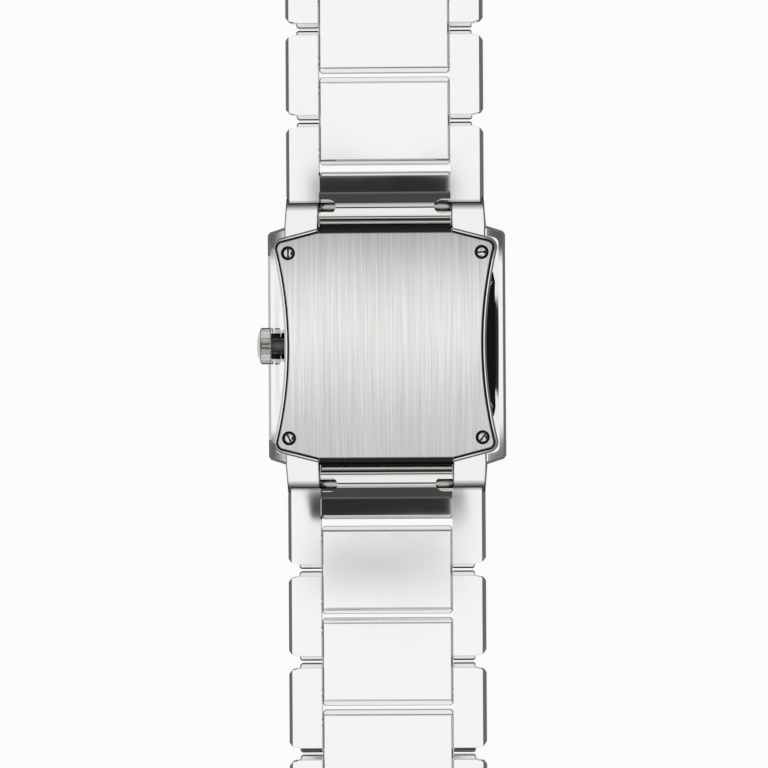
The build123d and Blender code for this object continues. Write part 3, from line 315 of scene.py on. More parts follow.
def plain(name, colour, second, roughness, grain_mm, depth, metallic=0.0, stretch=(1, 1, 1), coat=0.0):
    """A surface whose colour wanders between two tones, with a grain of the given size."""
    material, tree = new_material(name)
    place = add_node(tree, "ShaderNodeTexCoord").outputs["Object"]
    scale = tuple(1 / (grain_mm * MM * s) for s in stretch)
    turned = add_node(tree, "ShaderNodeMapping", {"Vector": place, "Scale": scale}).outputs["Vector"]
    noise = add_node(tree, "ShaderNodeTexNoise", {"Vector": turned, "Scale": 1.0, "Detail": 4.0})
    ramp = add_node(tree, "ShaderNodeValToRGB", {"Fac": noise.outputs["Fac"]})
    set_ramp(ramp, [(0.35, linear(colour)), (0.65, linear(second))])
    blur = add_node(tree, "ShaderNodeMapRange", {
        "Value": noise.outputs["Fac"], "From Min": 0.3, "From Max": 0.7,
        "To Min": roughness * 0.85, "To Max": roughness * 1.15,
    })
    bump = add_node(tree, "ShaderNodeBump", {
        "Height": noise.outputs["Fac"], "Strength": depth, "Distance": BUMP_DISTANCE,
    })
    shader = add_node(tree, "ShaderNodeBsdfPrincipled", {
        "Base Color": ramp.outputs["Color"], "Metallic": metallic, "Coat Weight": coat,
        "Roughness": blur.outputs["Result"], "Normal": bump.outputs["Normal"],
    })
    out = add_node(tree, "ShaderNodeOutputMaterial")
    tree.links.new(shader.outputs["BSDF"], out.inputs["Surface"])
    return material


rubber = plain("moulded_nylon_gasket", "17171a", "232326", 0.55, 0.15, 0.3)
dial_lacquer = plain("silver_opaline_dial", "dcdad4", "e6e4df", 0.42, 0.06, 0.25, metallic=0.3, coat=0.4)
print_ink = plain("pad_printed_ink", "151618", "1e1f22", 0.5, 0.08, 0.2)
ring_plastic = plain("moulded_acetal_ring", "e2e0da", "ebe9e4", 0.5, 0.2, 0.2)
brass = plain("nickel_plated_brass", "b7ab90", "c4b89c", 0.3, 0.15, 0.2, metallic=1.0)
battery_steel = plain("battery_can_steel", "b4b4b2", "c6c6c4", 0.28, 0.12, 0.2, metallic=1.0)
board = plain("solder_masked_board", "1d4a33", "245a3e", 0.35, 0.25, 0.2, coat=0.3)
copper_wire = plain(
    "lacquered_copper_wire", "8c4420", "b8683a", 0.3, 0.09, 0.9, metallic=1.0, stretch=(1, 60, 60),
)
# Painted shade: the crown tube is made dark to stand for the shade round it in the recess.
crown_tube_painted_shade = plain("crown_tube_steel_painted_shade", "565452", "696765", 0.45, 0.12, 0.2, metallic=1.0)
# Painted shade: this dark steel stands for shade in the groove, the crown's recess, the slots, the back's
# edge.
painted_shade_steel = plain("machined_steel_painted_shade", "2e2c2a", "3d3b38", 0.5, 0.12, 0.3, metallic=1.0)

SMEAR_SIZE = 4 * MM
GLASS_IOR = 1.52
glass, glass_tree = new_material("mineral_crystal_glass")
glass_place = add_node(glass_tree, "ShaderNodeTexCoord").outputs["Object"]
smears = add_node(glass_tree, "ShaderNodeTexNoise", {
    "Vector": glass_place, "Scale": 1 / SMEAR_SIZE, "Detail": 4.0,
})
glass_blur = add_node(glass_tree, "ShaderNodeMapRange", {
    "Value": smears.outputs["Fac"], "From Min": 0.45, "From Max": 0.75, "To Min": 0.0, "To Max": 0.05,
})
glass_shader = add_node(glass_tree, "ShaderNodeBsdfPrincipled", {
    "Base Color": (1, 1, 1, 1), "Transmission Weight": 1.0, "IOR": GLASS_IOR,
    "Roughness": glass_blur.outputs["Result"],
})
glass_out = add_node(glass_tree, "ShaderNodeOutputMaterial")
glass_tree.links.new(glass_shader.outputs["BSDF"], glass_out.inputs["Surface"])
print("materials", len(bpy.data.materials))

# %% [markdown]
# ## Finishing the engineering pieces
# A node of the engineering model keeps its shape and its place, and takes a material in its slots. Its
# edges are mathematically sharp, and no real edge is: a polished one has a fine rounding that catches the
# light as a bright line. Modifiers can add that without touching the mesh. The loose triangles are welded,
# flat areas are joined, edges are rounded by a bevel, and the shading is weighted to the large faces.

# %% Dress each node
FINISHES = {
    "case_middle": (polished, 0.05),
    "case_back": (back_brush, 0.03),
    "case_back_gasket": (rubber, 0),
    "case_back_screws": (screw_steel, 0.02),
    "crystal": (glass, 0.02),
    "crystal_gasket": (rubber, 0),
    "dial": (dial_lacquer, 0),
    "hour_markers": (hand_steel, 0.04),
    "movement_ring": (ring_plastic, 0),
    "movement_plate": (brass, 0.03),
    "battery_cell": (battery_steel, 0.08),
    "battery_strap": (pin_steel, 0),
    "circuit_board": (board, 0),
    "quartz_can": (battery_steel, 0.05),
    "motor_coil": (copper_wire, 0),
    "motor_stator": (pin_steel, 0),
    "train_bridge": (brass, 0.03),
    "crown_tube": (crown_tube_painted_shade, 0),
    "crown": (crown_steel, 0.03),
    "crown_stem": (pin_steel, 0),
    "crown_seal": (rubber, 0),
    "setting_lever": (pin_steel, 0),
    "minute_hand": (hand_steel, 0.03),
    "hour_hand": (hand_steel, 0.03),
    "cannon_pinion": (brass, 0),
    "hour_wheel": (brass, 0),
    "clasp_cover": (link_polish, 0.06),
    "clasp_cover_pin": (pin_steel, 0.05),
    "clasp_pivot_studs": (pin_steel, 0),
    "clasp_middle_blade": (blade_brush, 0.05),
    "clasp_fold_pin": (pin_steel, 0),
    "clasp_inner_blade": (blade_brush, 0.05),
    "clasp_end_pin": (pin_steel, 0.05),
}


def finish_for(name):
    """The material of a node and the width of its edge rounding in millimetres."""
    if name.startswith("spring_bar"):
        return pin_steel, 0.04
    if name.startswith("end_link"):
        return end_polish, 0.05
    if name.startswith("outer_links"):
        return link_polish, 0.07
    if name.startswith("centre_link"):
        return link_polish, 0.06
    return FINISHES[name]


MERGE_DISTANCE = 0.0005 * MM
FLAT_ANGLE = math.radians(0.5)
SHARP_ANGLE = math.radians(24)


def soften_edges(piece, width_mm):
    """Live modifiers that weld a node's triangles and round its edges."""
    weld = piece.modifiers.new("weld", "WELD")
    weld.merge_threshold = MERGE_DISTANCE
    flat = piece.modifiers.new("flat", "DECIMATE")
    flat.decimate_type = "DISSOLVE"
    flat.angle_limit = FLAT_ANGLE
    bevel = piece.modifiers.new("edge", "BEVEL")
    bevel.width = width_mm * MM
    bevel.segments = 2
    bevel.limit_method = "ANGLE"
    bevel.angle_limit = SHARP_ANGLE
    weighted = piece.modifiers.new("weighted", "WEIGHTED_NORMAL")
    weighted.keep_sharp = True


for name, piece in nodes.items():
    material, edge = finish_for(name)
    piece.data.materials.clear()
    piece.data.materials.append(material)
    if edge:
        soften_edges(piece, edge)
print("dressed", len(nodes), "nodes")

# %% [markdown]
# ## Polished edges
# A polishing wheel rounds the edges of the links and the lugs far more than a modifier on the whole node
# can, because such a modifier stops at the node's smallest edge. So those nodes are copied, the copy's
# triangles are merged, and only the long outer edges are chosen, by where they lie and how sharply their
# two faces meet. One bevel with several segments then rounds them, and the copy stands for the node.

# %% Copy a node and round its long edges


def select_only(*pieces):
    """Leaves only these pieces selected, with the first one active."""
    bpy.ops.object.select_all(action="DESELECT")
    for piece in pieces:
        piece.select_set(True)
    bpy.context.view_layer.objects.active = pieces[0]


def stand_for(piece, name):
    """Lets a finished piece take a node's place, on its body."""
    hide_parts(name)
    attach(piece, nodes[name]["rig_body"])


def worked_copy(name):
    """A merged copy of a node that stands for it."""
    piece = bpy.data.objects.new(name + "_finished", nodes[name].data.copy())
    bpy.context.scene.collection.objects.link(piece)
    select_only(piece)
    bpy.ops.mesh.customdata_custom_splitnormals_clear()
    bpy.ops.object.mode_set(mode="EDIT")
    bpy.ops.mesh.select_all(action="SELECT")
    bpy.ops.mesh.remove_doubles(threshold=MERGE_DISTANCE)
    bpy.ops.object.mode_set(mode="OBJECT")
    stand_for(piece, name)
    return piece


def join_flat(piece, wanted):
    """Joins the triangles of the flat faces that are wanted, so that a bevel can run past them."""
    bpy.context.tool_settings.mesh_select_mode = (False, False, True)
    select_only(piece)
    bpy.ops.object.mode_set(mode="EDIT")
    select_faces(piece, wanted)
    bpy.ops.mesh.dissolve_limited(angle_limit=FLAT_ANGLE)
    bpy.ops.object.mode_set(mode="OBJECT")


def select_faces(piece, wanted):
    """Selects, in edit mode, the faces that are wanted."""
    bpy.ops.mesh.select_all(action="DESELECT")
    bpy.ops.object.mode_set(mode="OBJECT")
    for face in piece.data.polygons:
        face.select = bool(wanted(face))
    bpy.ops.object.mode_set(mode="EDIT")


def round_edges(piece, radius_mm, wanted, shortest_mm=0.12, segments=6, clamp=True):
    """Rounds the sharp edges whose middle and two face normals are wanted."""
    mesh = piece.data
    bpy.context.tool_settings.mesh_select_mode = (False, True, False)
    select_only(piece)
    bpy.ops.object.mode_set(mode="EDIT")
    bpy.ops.mesh.select_all(action="DESELECT")
    bpy.ops.object.mode_set(mode="OBJECT")
    normals = {}
    for face in mesh.polygons:
        for key in face.edge_keys:
            normals.setdefault(key, []).append(face.normal.copy())
    chosen = 0
    for edge in mesh.edges:
        pair = normals.get(tuple(sorted(edge.vertices)), [])
        if len(pair) != 2 or pair[0].angle(pair[1]) < SHARP_ANGLE:
            continue
        ends = [mesh.vertices[v].co for v in edge.vertices]
        if (ends[0] - ends[1]).length < shortest_mm * MM:
            continue
        if wanted((ends[0] + ends[1]) / 2 / MM, *pair):
            edge.select = True
            chosen += 1
    bpy.ops.object.mode_set(mode="EDIT")
    bpy.ops.mesh.bevel(offset=radius_mm * MM, segments=segments, affect="EDGES", clamp_overlap=clamp)
    bpy.ops.mesh.select_all(action="SELECT")
    bpy.ops.mesh.remove_doubles(threshold=MERGE_DISTANCE)
    bpy.ops.object.mode_set(mode="OBJECT")
    bpy.ops.object.shade_smooth_by_angle(angle=SMOOTH_ANGLE)
    weighted = piece.modifiers.new("weighted", "WEIGHTED_NORMAL")
    weighted.keep_sharp = True
    weighted.weight = 100
    bpy.ops.object.modifier_apply(modifier=weighted.name)
    return chosen


SMOOTH_ANGLE = math.radians(17)
print("ready to round edges")

# %% [markdown]
# The outer links are rounded on every long edge outside the inner faces, where their pins cross, and the
# centre links on all long edges away from their bores.

# %% Round the links
OUTER_EDGE_RADIUS = 0.2
CENTRE_EDGE_RADIUS = 0.17
inner_face_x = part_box("centre_link_12_1")[1][0] / MM
link_rounds = 0
for name in sorted(nodes):
    if name.startswith("outer_links"):
        link = worked_copy(name)
        join_flat(link, lambda face: True)
        link_rounds += round_edges(link, OUTER_EDGE_RADIUS, lambda at, a, b: abs(at.x) > inner_face_x)
    elif name.startswith("centre_link"):
        link = worked_copy(name)
        join_flat(link, lambda face: True)
        link_rounds += round_edges(link, CENTRE_EDGE_RADIUS, lambda at, a, b: max(a.z, b.z) > 0.6)
    else:
        continue
    link.data.materials.clear()
    # The first links take the steel with the painted shade in their seam.
    link.data.materials.append(seat_link_painted_shade if name.endswith("_1") else link_polish)
print("rounded", link_rounds, "edges of links")

# %% [markdown]
# The case middle is rounded along its lugs. Two places of it get painted shade, a dark material that
# stands for the shade in them: the groove round the case back, and the recess behind the crown, which is
# also cut a little into the frame, so that the crown's lower edge has room. Those faces take a second, dark
# material.

# %% Finish the case middle
LUG_EDGE_RADIUS = 0.2
RECESS_DEPTH = 0.3
RECESS_HALF_WIDTH = 1.37
RECESS_BEFORE_CROWN = 0.1
RECESS_BEHIND_CROWN = 1.1
case = worked_copy("case_middle")
case.data.materials.clear()
case.data.materials.append(polished)
case.data.materials.append(painted_shade_steel)
crown_low, crown_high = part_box("crown")
ledge_z = crown_low[2]
recess_low_x = crown_high[0] - RECESS_BEFORE_CROWN * MM
recess_high_x = crown_high[0] + RECESS_BEHIND_CROWN * MM
bpy.ops.object.select_all(action="DESELECT")
recess_middle = ((recess_low_x + recess_high_x) / 2, 0, ledge_z)
bpy.ops.mesh.primitive_cube_add(size=1, location=recess_middle)
cutter = bpy.context.object
cutter.scale = (recess_high_x - recess_low_x, 2 * RECESS_HALF_WIDTH * MM, 2 * RECESS_DEPTH * MM)
bpy.ops.object.transform_apply(location=True, rotation=True, scale=True)
select_only(case)
cut = case.modifiers.new("recess", "BOOLEAN")
cut.operation = "DIFFERENCE"
cut.object = cutter
cut.solver = "EXACT"
bpy.ops.object.modifier_apply(modifier=cut.name)
bpy.data.objects.remove(cutter)
print("case faces", len(case.data.polygons), "ledge", round(ledge_z / MM, 2))

# %% Round the lugs and mark the faces of painted shade
LUG_EDGES_ABOVE = 3.6
lug_seat_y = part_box("case_back")[1][1] / MM
join_flat(case, lambda face: abs(face.normal.x) > 0.9 and abs(face.center.y) > lug_seat_y * MM)
lug_edges = round_edges(
    case, LUG_EDGE_RADIUS,
    lambda at, a, b: abs(at.y) > lug_seat_y and at.z > LUG_EDGES_ABOVE and max(abs(a.x), abs(b.x)) > 0.9,
    shortest_mm=0.05, clamp=False,
)
GROOVE_WIDTH = 0.3 * MM
GROOVE_DEPTH = 0.5 * MM
LEVEL_MARGIN = 0.05 * MM
RECESS_MARGIN = 0.02 * MM
plate_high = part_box("case_back")[1]
seat_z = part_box("case_back_gasket")[1][2]


def is_shade_painted(face):
    """True for the faces of the groove round the case back and of the crown's recess, which get painted
    shade.
    """
    at, normal = face.center, face.normal
    corners = [case.data.vertices[v].co for v in face.vertices]
    near = abs(at.x) < plate_high[0] + GROOVE_WIDTH and abs(at.y) < plate_high[1] + GROOVE_WIDTH
    on_floor = normal.z > 0.99 and abs(at.z - seat_z) < LEVEL_MARGIN
    faces_in = abs(normal.z) < 0.3 and normal.x * at.x + normal.y * at.y < 0
    on_wall = faces_in and seat_z - GROOVE_DEPTH < at.z < case_top - LEVEL_MARGIN
    in_groove = near and (on_floor or on_wall)
    in_recess = all(
        recess_low_x - RECESS_MARGIN < c.x < recess_high_x
        and abs(c.y) < RECESS_HALF_WIDTH * MM + RECESS_MARGIN
        and c.z > ledge_z - RECESS_DEPTH * MM - RECESS_MARGIN
        for c in corners
    )
    return in_groove or in_recess


case_top = max(v.co.z for v in case.data.vertices)
shade_painted = [face for face in case.data.polygons if is_shade_painted(face)]
for face in shade_painted:
    face.material_index = 1
print("grimy faces", len(shade_painted), "of", len(case.data.polygons))
print("lug edges", lug_edges, "seat", round(seat_z / MM, 2), "top", round(case_top / MM, 2))

# %% [markdown]
# The case back keeps its brushing on top. Its upright edge and the walls round the screws are bare
# machined steel in the shade, so they take the darker material too.

# %% Finish the case back
back = worked_copy("case_back")
back.data.materials.clear()
back.data.materials.append(back_brush)
back.data.materials.append(painted_shade_steel)
BRUSHED_DEPTH = 0.12 * MM
shaded = 0
for face in back.data.polygons:
    if face.normal.z < 0.3 or face.center.z < plate_high[2] - BRUSHED_DEPTH:
        face.material_index = 1
        shaded += 1
bpy.ops.object.shade_smooth_by_angle(angle=SMOOTH_ANGLE)
print("shaded faces of the case back", shaded)

# %% [markdown]
# ## Case back screws
# Four slotted screws hold the case back. Their heads are low polished domes: a dome mirrors the whole
# room, so its rim turns dark and its middle stays bright. Each starts as a cylinder, its top is drawn up
# in smaller and smaller rings, and a block is cut away for the slot, turned as the screws are turned in
# the photograph.

# %% Model one screw and copy it
screw_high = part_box("case_back_screws")[1]
SCREW_RADIUS = 0.65
SCREW_DOME = 0.25
SCREW_LENGTH = 2.4
SCREW_SLOT = (0.2, 0.24)
SCREW_INSET = 0.66
SCREW_EDGE = 0.025
SCREW_TURNS = (
    ("12_right", 1, 1, 5), ("12_left", -1, 1, 90), ("6_left", -1, -1, 118), ("6_right", 1, -1, 52),
)
screw_x = screw_high[0] - SCREW_INSET * MM
screw_y = screw_high[1] - SCREW_INSET * MM
dome_top = screw_high[2]


def dome_steps(radius, height, rings):
    """The rise and the scale of each ring of a round dome, from its rim to its top."""
    ball = (radius * radius + height * height) / (2 * height)
    rim_angle = math.asin(radius / ball)
    steps = []
    last_z, last_r = ball * math.cos(rim_angle), radius
    for ring in range(1, rings + 1):
        angle = rim_angle * (1 - ring / (rings + 0.5))
        z, r = ball * math.cos(angle), ball * math.sin(angle)
        steps.append((z - last_z, r / last_r))
        last_z, last_r = z, r
    return steps


def apply_modifiers(piece):
    """Applies every modifier of a piece, in order."""
    select_only(piece)
    for modifier in list(piece.modifiers):
        bpy.ops.object.modifier_apply(modifier=modifier.name)


rim_z = dome_top - SCREW_DOME * MM
bpy.context.tool_settings.mesh_select_mode = (False, False, True)
bpy.ops.object.select_all(action="DESELECT")
bpy.ops.mesh.primitive_cylinder_add(
    vertices=56, radius=SCREW_RADIUS * MM, depth=SCREW_LENGTH * MM,
    location=(0, 0, rim_z - SCREW_LENGTH / 2 * MM),
)
screw = bpy.context.object
bpy.ops.object.transform_apply(location=True, rotation=True, scale=True)
bpy.ops.object.mode_set(mode="EDIT")
select_faces(screw, lambda face: face.normal.z > 0.9)
for rise, shrink in dome_steps(SCREW_RADIUS, SCREW_DOME, 7):
    bpy.ops.mesh.extrude_region_move(TRANSFORM_OT_translate={"value": (0, 0, rise * MM)})
    bpy.ops.transform.resize(value=(shrink, shrink, 1), center_override=(0, 0, 0))
bpy.ops.object.mode_set(mode="OBJECT")
bpy.ops.object.select_all(action="DESELECT")
bpy.ops.mesh.primitive_cube_add(size=1, location=(0, 0, dome_top))
slot_block = bpy.context.object
slot_block.scale = (4 * SCREW_RADIUS * MM, SCREW_SLOT[0] * MM, 2 * SCREW_SLOT[1] * MM)
bpy.ops.object.transform_apply(location=True, rotation=True, scale=True)
select_only(screw)
slot_cut = screw.modifiers.new("slot", "BOOLEAN")
slot_cut.object = slot_block
slot_cut.solver = "EXACT"
edge = screw.modifiers.new("edge", "BEVEL")
edge.width = SCREW_EDGE * MM
edge.segments = 2
edge.limit_method = "ANGLE"
edge.angle_limit = math.radians(40)
apply_modifiers(screw)
bpy.data.objects.remove(slot_block)
bpy.ops.object.shade_smooth_by_angle(angle=SMOOTH_ANGLE)
screw.data.materials.append(screw_steel)
screw.data.materials.append(painted_shade_steel)
slot_floor = dome_top - SCREW_SLOT[1] * MM
# The floor of the slot takes the dark steel, as painted shade.
for face in screw.data.polygons:
    if face.normal.z > 0.9 and abs(face.center.z - slot_floor) < 0.1 * SCREW_SLOT[1] * MM:
        face.material_index = 1
for label, side_x, side_y, turn in SCREW_TURNS:
    piece = bpy.data.objects.new("case_back_screw_" + label, screw.data.copy())
    bpy.context.scene.collection.objects.link(piece)
    piece.location = (side_x * screw_x, side_y * screw_y, 0)
    piece.rotation_euler = (0, 0, math.radians(turn))
    select_only(piece)
    bpy.ops.object.transform_apply(location=True, rotation=True, scale=True)
    stand_for(piece, "case_back_screws")
bpy.data.objects.remove(screw)
print("screws at", round(screw_x / MM, 2), round(screw_y / MM, 2))

# %% [markdown]
# ## Crown
# The crown is turned from bar and fluted, so that two fingers can grip it. Its side view is drawn as a
# list of rings, each a distance along the stem and a share of the crown's radius. The first ring is a
# circle, and every next one is extruded from it and scaled. Along the fluted band, the vertices of each
# groove are then drawn towards the axis.

# %% Turn and flute the crown
CROWN_FLUTES = 24
CROWN_STEPS = 4
crown_z = (crown_low[2] + crown_high[2]) / 2
crown_radius = (crown_high[2] - crown_low[2]) / 2 / MM
crown_length = (crown_high[0] - crown_low[0]) / MM
CROWN_RINGS = [
    (0.0, 0.86), (0.0, 0.9), (0.12, 1.0), (0.16, 1.0), (0.6, 1.0), (1.05, 1.0), (1.1, 0.985), (1.18, 0.93),
    (1.26, 0.84), (1.3, 0.79), (1.3, 0.74), (1.4, 0.68), (1.49, 0.56), (1.54, 0.4), (1.57, 0.2),
]
CROWN_BORE = 0.45
CROWN_SMOOTH_ANGLE = math.radians(50)
FLUTE_FROM, FLUTE_TO, FLUTE_DEPTH = 0.1, 1.12, 0.22
FLUTE_SHAPE = {0: 1.0, 1: 0.5, 3: 0.5}


def select_vertices(piece, wanted):
    """Selects, in edit mode, the vertices that are wanted."""
    bpy.ops.mesh.select_all(action="DESELECT")
    bpy.ops.object.mode_set(mode="OBJECT")
    for vertex in piece.data.vertices:
        vertex.select = bool(wanted(vertex))
    bpy.ops.object.mode_set(mode="EDIT")


around = CROWN_FLUTES * CROWN_STEPS
bpy.context.tool_settings.mesh_select_mode = (True, False, False)
bpy.ops.object.select_all(action="DESELECT")
bpy.ops.mesh.primitive_circle_add(
    vertices=around, radius=CROWN_BORE * MM, fill_type="NOTHING",
    location=(crown_high[0], 0, crown_z), rotation=(0, -math.pi / 2, 0),
)
crown = bpy.context.object
crown.name = "fluted_crown"
bpy.ops.object.transform_apply(location=True, rotation=True, scale=True)
axis_point = Vector((crown_high[0], 0, crown_z))
bpy.ops.object.mode_set(mode="EDIT")
last_x, last_radius = 0.0, CROWN_BORE
for ring_x, share_of_radius in CROWN_RINGS:
    ring_radius = share_of_radius * crown_radius
    bpy.ops.mesh.extrude_region_move(TRANSFORM_OT_translate={"value": ((last_x - ring_x) * MM, 0, 0)})
    grow = ring_radius / last_radius
    bpy.ops.transform.resize(value=(1, grow, grow), center_override=axis_point)
    last_x, last_radius = ring_x, ring_radius
bpy.ops.mesh.edge_face_add()


def flute_step(vertex):
    """Which quarter of a flute's width a vertex lies at, or None outside the fluted band."""
    depth = (crown_high[0] - vertex.co.x) / MM
    if not FLUTE_FROM < depth < FLUTE_TO:
        return None
    angle = math.atan2(vertex.co.z - crown_z, vertex.co.y)
    return round(angle / (2 * math.pi) * around) % CROWN_STEPS


for step, share_of_depth in FLUTE_SHAPE.items():
    select_vertices(crown, lambda vertex: flute_step(vertex) == step)
    inward = 1 - share_of_depth * FLUTE_DEPTH / crown_radius
    bpy.ops.transform.resize(value=(1, inward, inward), center_override=axis_point)
bpy.ops.mesh.select_all(action="SELECT")
bpy.ops.mesh.remove_doubles(threshold=MERGE_DISTANCE)
bpy.ops.mesh.normals_make_consistent(inside=False)
bpy.ops.object.mode_set(mode="OBJECT")
bpy.ops.object.shade_smooth_by_angle(angle=CROWN_SMOOTH_ANGLE)
crown.data.materials.append(crown_steel)
stand_for(crown, "crown")
print("crown faces", len(crown.data.polygons), "length", round(crown_length, 2))

# %% [markdown]
# ## Minute track
# On the hidden front, the dial carries sixty printed strokes round its edge, one for each minute, with a
# wider one at each hour. The print is a film of ink two hundredths of a millimetre thick. Each stroke is
# a thin block with rounded corners, modelled once in two sizes and copied to where a line from the centre
# meets the rectangle of the track.

# %% Print the minute track
TRACK_HALF = (7.92, 8.5)
STROKE = (0.42, 0.13, 0.02)
HOUR_STROKE = (0.42, 0.28, 0.02)
STROKE_CORNER = 0.03
NEARLY_ZERO = 1e-6
dial_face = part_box("dial")[0][2]


def block(name, size_mm, middle, edge_mm, turn=0.0):
    """A small block with rounded upright corners, turned about Z."""
    bpy.ops.object.select_all(action="DESELECT")
    bpy.ops.mesh.primitive_cube_add(size=1, location=(0, 0, 0))
    piece = bpy.context.object
    piece.name = name
    piece.scale = tuple(v * MM for v in size_mm)
    bpy.ops.object.transform_apply(location=True, rotation=True, scale=True)
    bpy.context.tool_settings.mesh_select_mode = (False, True, False)
    bpy.ops.object.mode_set(mode="EDIT")
    bpy.ops.mesh.select_all(action="DESELECT")
    bpy.ops.object.mode_set(mode="OBJECT")
    for edge in piece.data.edges:
        a, b = (piece.data.vertices[v].co for v in edge.vertices)
        edge.select = abs(a.z - b.z) > 0.5 * size_mm[2] * MM
    bpy.ops.object.mode_set(mode="EDIT")
    bpy.ops.mesh.bevel(offset=edge_mm * MM, segments=2, affect="EDGES")
    bpy.ops.object.mode_set(mode="OBJECT")
    piece.location = middle
    piece.rotation_euler = (0, 0, turn)
    bpy.ops.object.transform_apply(location=True, rotation=True, scale=True)
    return piece


strokes = []
for minute in range(60):
    turn = math.radians(6 * minute)
    reach = min(
        TRACK_HALF[0] / max(NEARLY_ZERO, abs(math.sin(turn))),
        TRACK_HALF[1] / max(NEARLY_ZERO, abs(math.cos(turn))),
    )
    size = HOUR_STROKE if minute % 5 == 0 else STROKE
    at = (reach * math.sin(turn) * MM, reach * math.cos(turn) * MM, dial_face - size[2] / 2 * MM)
    strokes.append(block("stroke", size, at, STROKE_CORNER, math.pi / 2 - turn))
select_only(*strokes)
bpy.ops.object.join()
track = bpy.context.object
track.name = "minute_track"
track.data.materials.append(print_ink)
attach(track, nodes["dial"]["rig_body"])
print("track strokes", len(strokes))

# %% [markdown]
# ## Pin ends
# The pins that join the links are pressed in from the side and ground level with the outer links. Each
# end here is a short cylinder with a low dome, whose top is level with the link's side. The link is one
# solid, so it still covers the pin ends, and they don't show.

# %% Add the pin ends
PIN_END_RADIUS = 0.55
PIN_END_PROUD = 0.04
PIN_END_DEPTH = 0.4
PIN_SMOOTH_ANGLE = math.radians(40)
bpy.ops.object.select_all(action="DESELECT")
bpy.ops.mesh.primitive_cylinder_add(
    vertices=40, radius=PIN_END_RADIUS * MM, depth=PIN_END_DEPTH * MM,
    location=(0, 0, -PIN_END_DEPTH / 2 * MM),
)
pin_end = bpy.context.object
bpy.ops.object.transform_apply(location=True, rotation=True, scale=True)
bpy.context.tool_settings.mesh_select_mode = (False, False, True)
bpy.ops.object.mode_set(mode="EDIT")
select_faces(pin_end, lambda face: face.normal.z > 0.9)
for rise, shrink in dome_steps(PIN_END_RADIUS, PIN_END_PROUD, 4):
    bpy.ops.mesh.extrude_region_move(TRANSFORM_OT_translate={"value": (0, 0, rise * MM)})
    bpy.ops.transform.resize(value=(shrink, shrink, 1), center_override=(0, 0, 0))
bpy.ops.object.mode_set(mode="OBJECT")
bpy.ops.object.shade_smooth_by_angle(angle=PIN_SMOOTH_ANGLE)
pin_end.data.materials.append(pin_steel)
pin_count = 0
for joint in frame["record"]["behaviour"]["joints"]:
    child = joint["child"]
    if not child.startswith(("outer", "centre")):
        continue
    carrier = child if child.startswith("outer") else joint["parent"]
    node = carrier.replace("outer_", "outer_links_").replace("end_piece_12", "outer_links_12_1")
    node = node.replace("end_piece_6", "outer_links_6_1")
    side_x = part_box(node)[1][0]
    at_y, at_z = joint["pos_m"][1], joint["pos_m"][2]
    for side, sign in (("right", 1), ("left", -1)):
        piece = bpy.data.objects.new("pin_end_%s_%s" % (child, side), pin_end.data.copy())
        bpy.context.scene.collection.objects.link(piece)
        piece.location = (sign * (side_x - PIN_END_PROUD * MM), at_y, at_z)
        piece.rotation_euler = (0, sign * math.pi / 2, 0)
        select_only(piece)
        bpy.ops.object.transform_apply(location=True, rotation=True, scale=True)
        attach(piece, carrier)
        pin_count += 1
bpy.data.objects.remove(pin_end)
print("pin ends", pin_count)

# %% [markdown]
# ## White floor and studio light
# The watch was photographed on white and the background was bleached, so the floor is white and keeps
# only a trace of shadow. Polished steel shows its surroundings and nothing else, so the studio matters as
# much as the metal: a broad white ceiling fills the faces that look up, darker walls draw the edges, and
# narrow dark slots in the ceiling are what the flat end links mirror.

# %% Floor
FLOOR_SIZE = 6
FLOOR_GREY = 0.92
FLOOR_GLOW = 0.94
bpy.ops.object.select_all(action="DESELECT")
bpy.ops.mesh.primitive_plane_add(size=FLOOR_SIZE, location=(0, 0, 0))
floor = bpy.context.object
floor.name = "floor"
floor_material, floor_tree = new_material("white_floor")
light_path = add_node(floor_tree, "ShaderNodeLightPath")
seen = add_node(floor_tree, "ShaderNodeMath", {
    0: light_path.outputs["Is Camera Ray"], 1: light_path.outputs["Is Glossy Ray"],
}, operation="MAXIMUM")
seen_all = add_node(floor_tree, "ShaderNodeMath", {
    0: seen.outputs[0], 1: light_path.outputs["Is Transmission Ray"],
}, operation="MAXIMUM")
share = add_node(floor_tree, "ShaderNodeMath", {
    0: seen_all.outputs[0], 1: FLOOR_GLOW,
}, operation="MULTIPLY")
paper = add_node(floor_tree, "ShaderNodeBsdfDiffuse", {"Color": (FLOOR_GREY, FLOOR_GREY, FLOOR_GREY, 1)})
glow = add_node(floor_tree, "ShaderNodeEmission", {"Color": (1, 1, 1, 1), "Strength": 1.0})
mixed = add_node(floor_tree, "ShaderNodeMixShader", {
    "Fac": share.outputs[0], 1: paper.outputs["BSDF"], 2: glow.outputs["Emission"],
})
clear = add_node(floor_tree, "ShaderNodeBsdfTransparent")
underside = add_node(floor_tree, "ShaderNodeNewGeometry").outputs["Backfacing"]
one_way = add_node(floor_tree, "ShaderNodeMixShader", {
    "Fac": underside, 1: mixed.outputs["Shader"], 2: clear.outputs["BSDF"],
})
floor_out = add_node(floor_tree, "ShaderNodeOutputMaterial")
floor_tree.links.new(one_way.outputs["Shader"], floor_out.inputs["Surface"])
floor.data.materials.append(floor_material)
print("floor at", floor.location.z)

# %% [markdown]
# A photographer sets cards round polished steel, out of the picture, so that its edges and steep sides
# mirror something darker than the room. Only mirror rays see the cards here, and they glow evenly, because
# the watch would shade plain paper. A black one lies right of the case, where the flank shows a black
# crescent. Grey ones lie beside the bracelet, and a pale one lies under it. Upright flags close the sides
# and the ends, two dark cards hang above the bracelet, and the floor on the left of the case stays white.

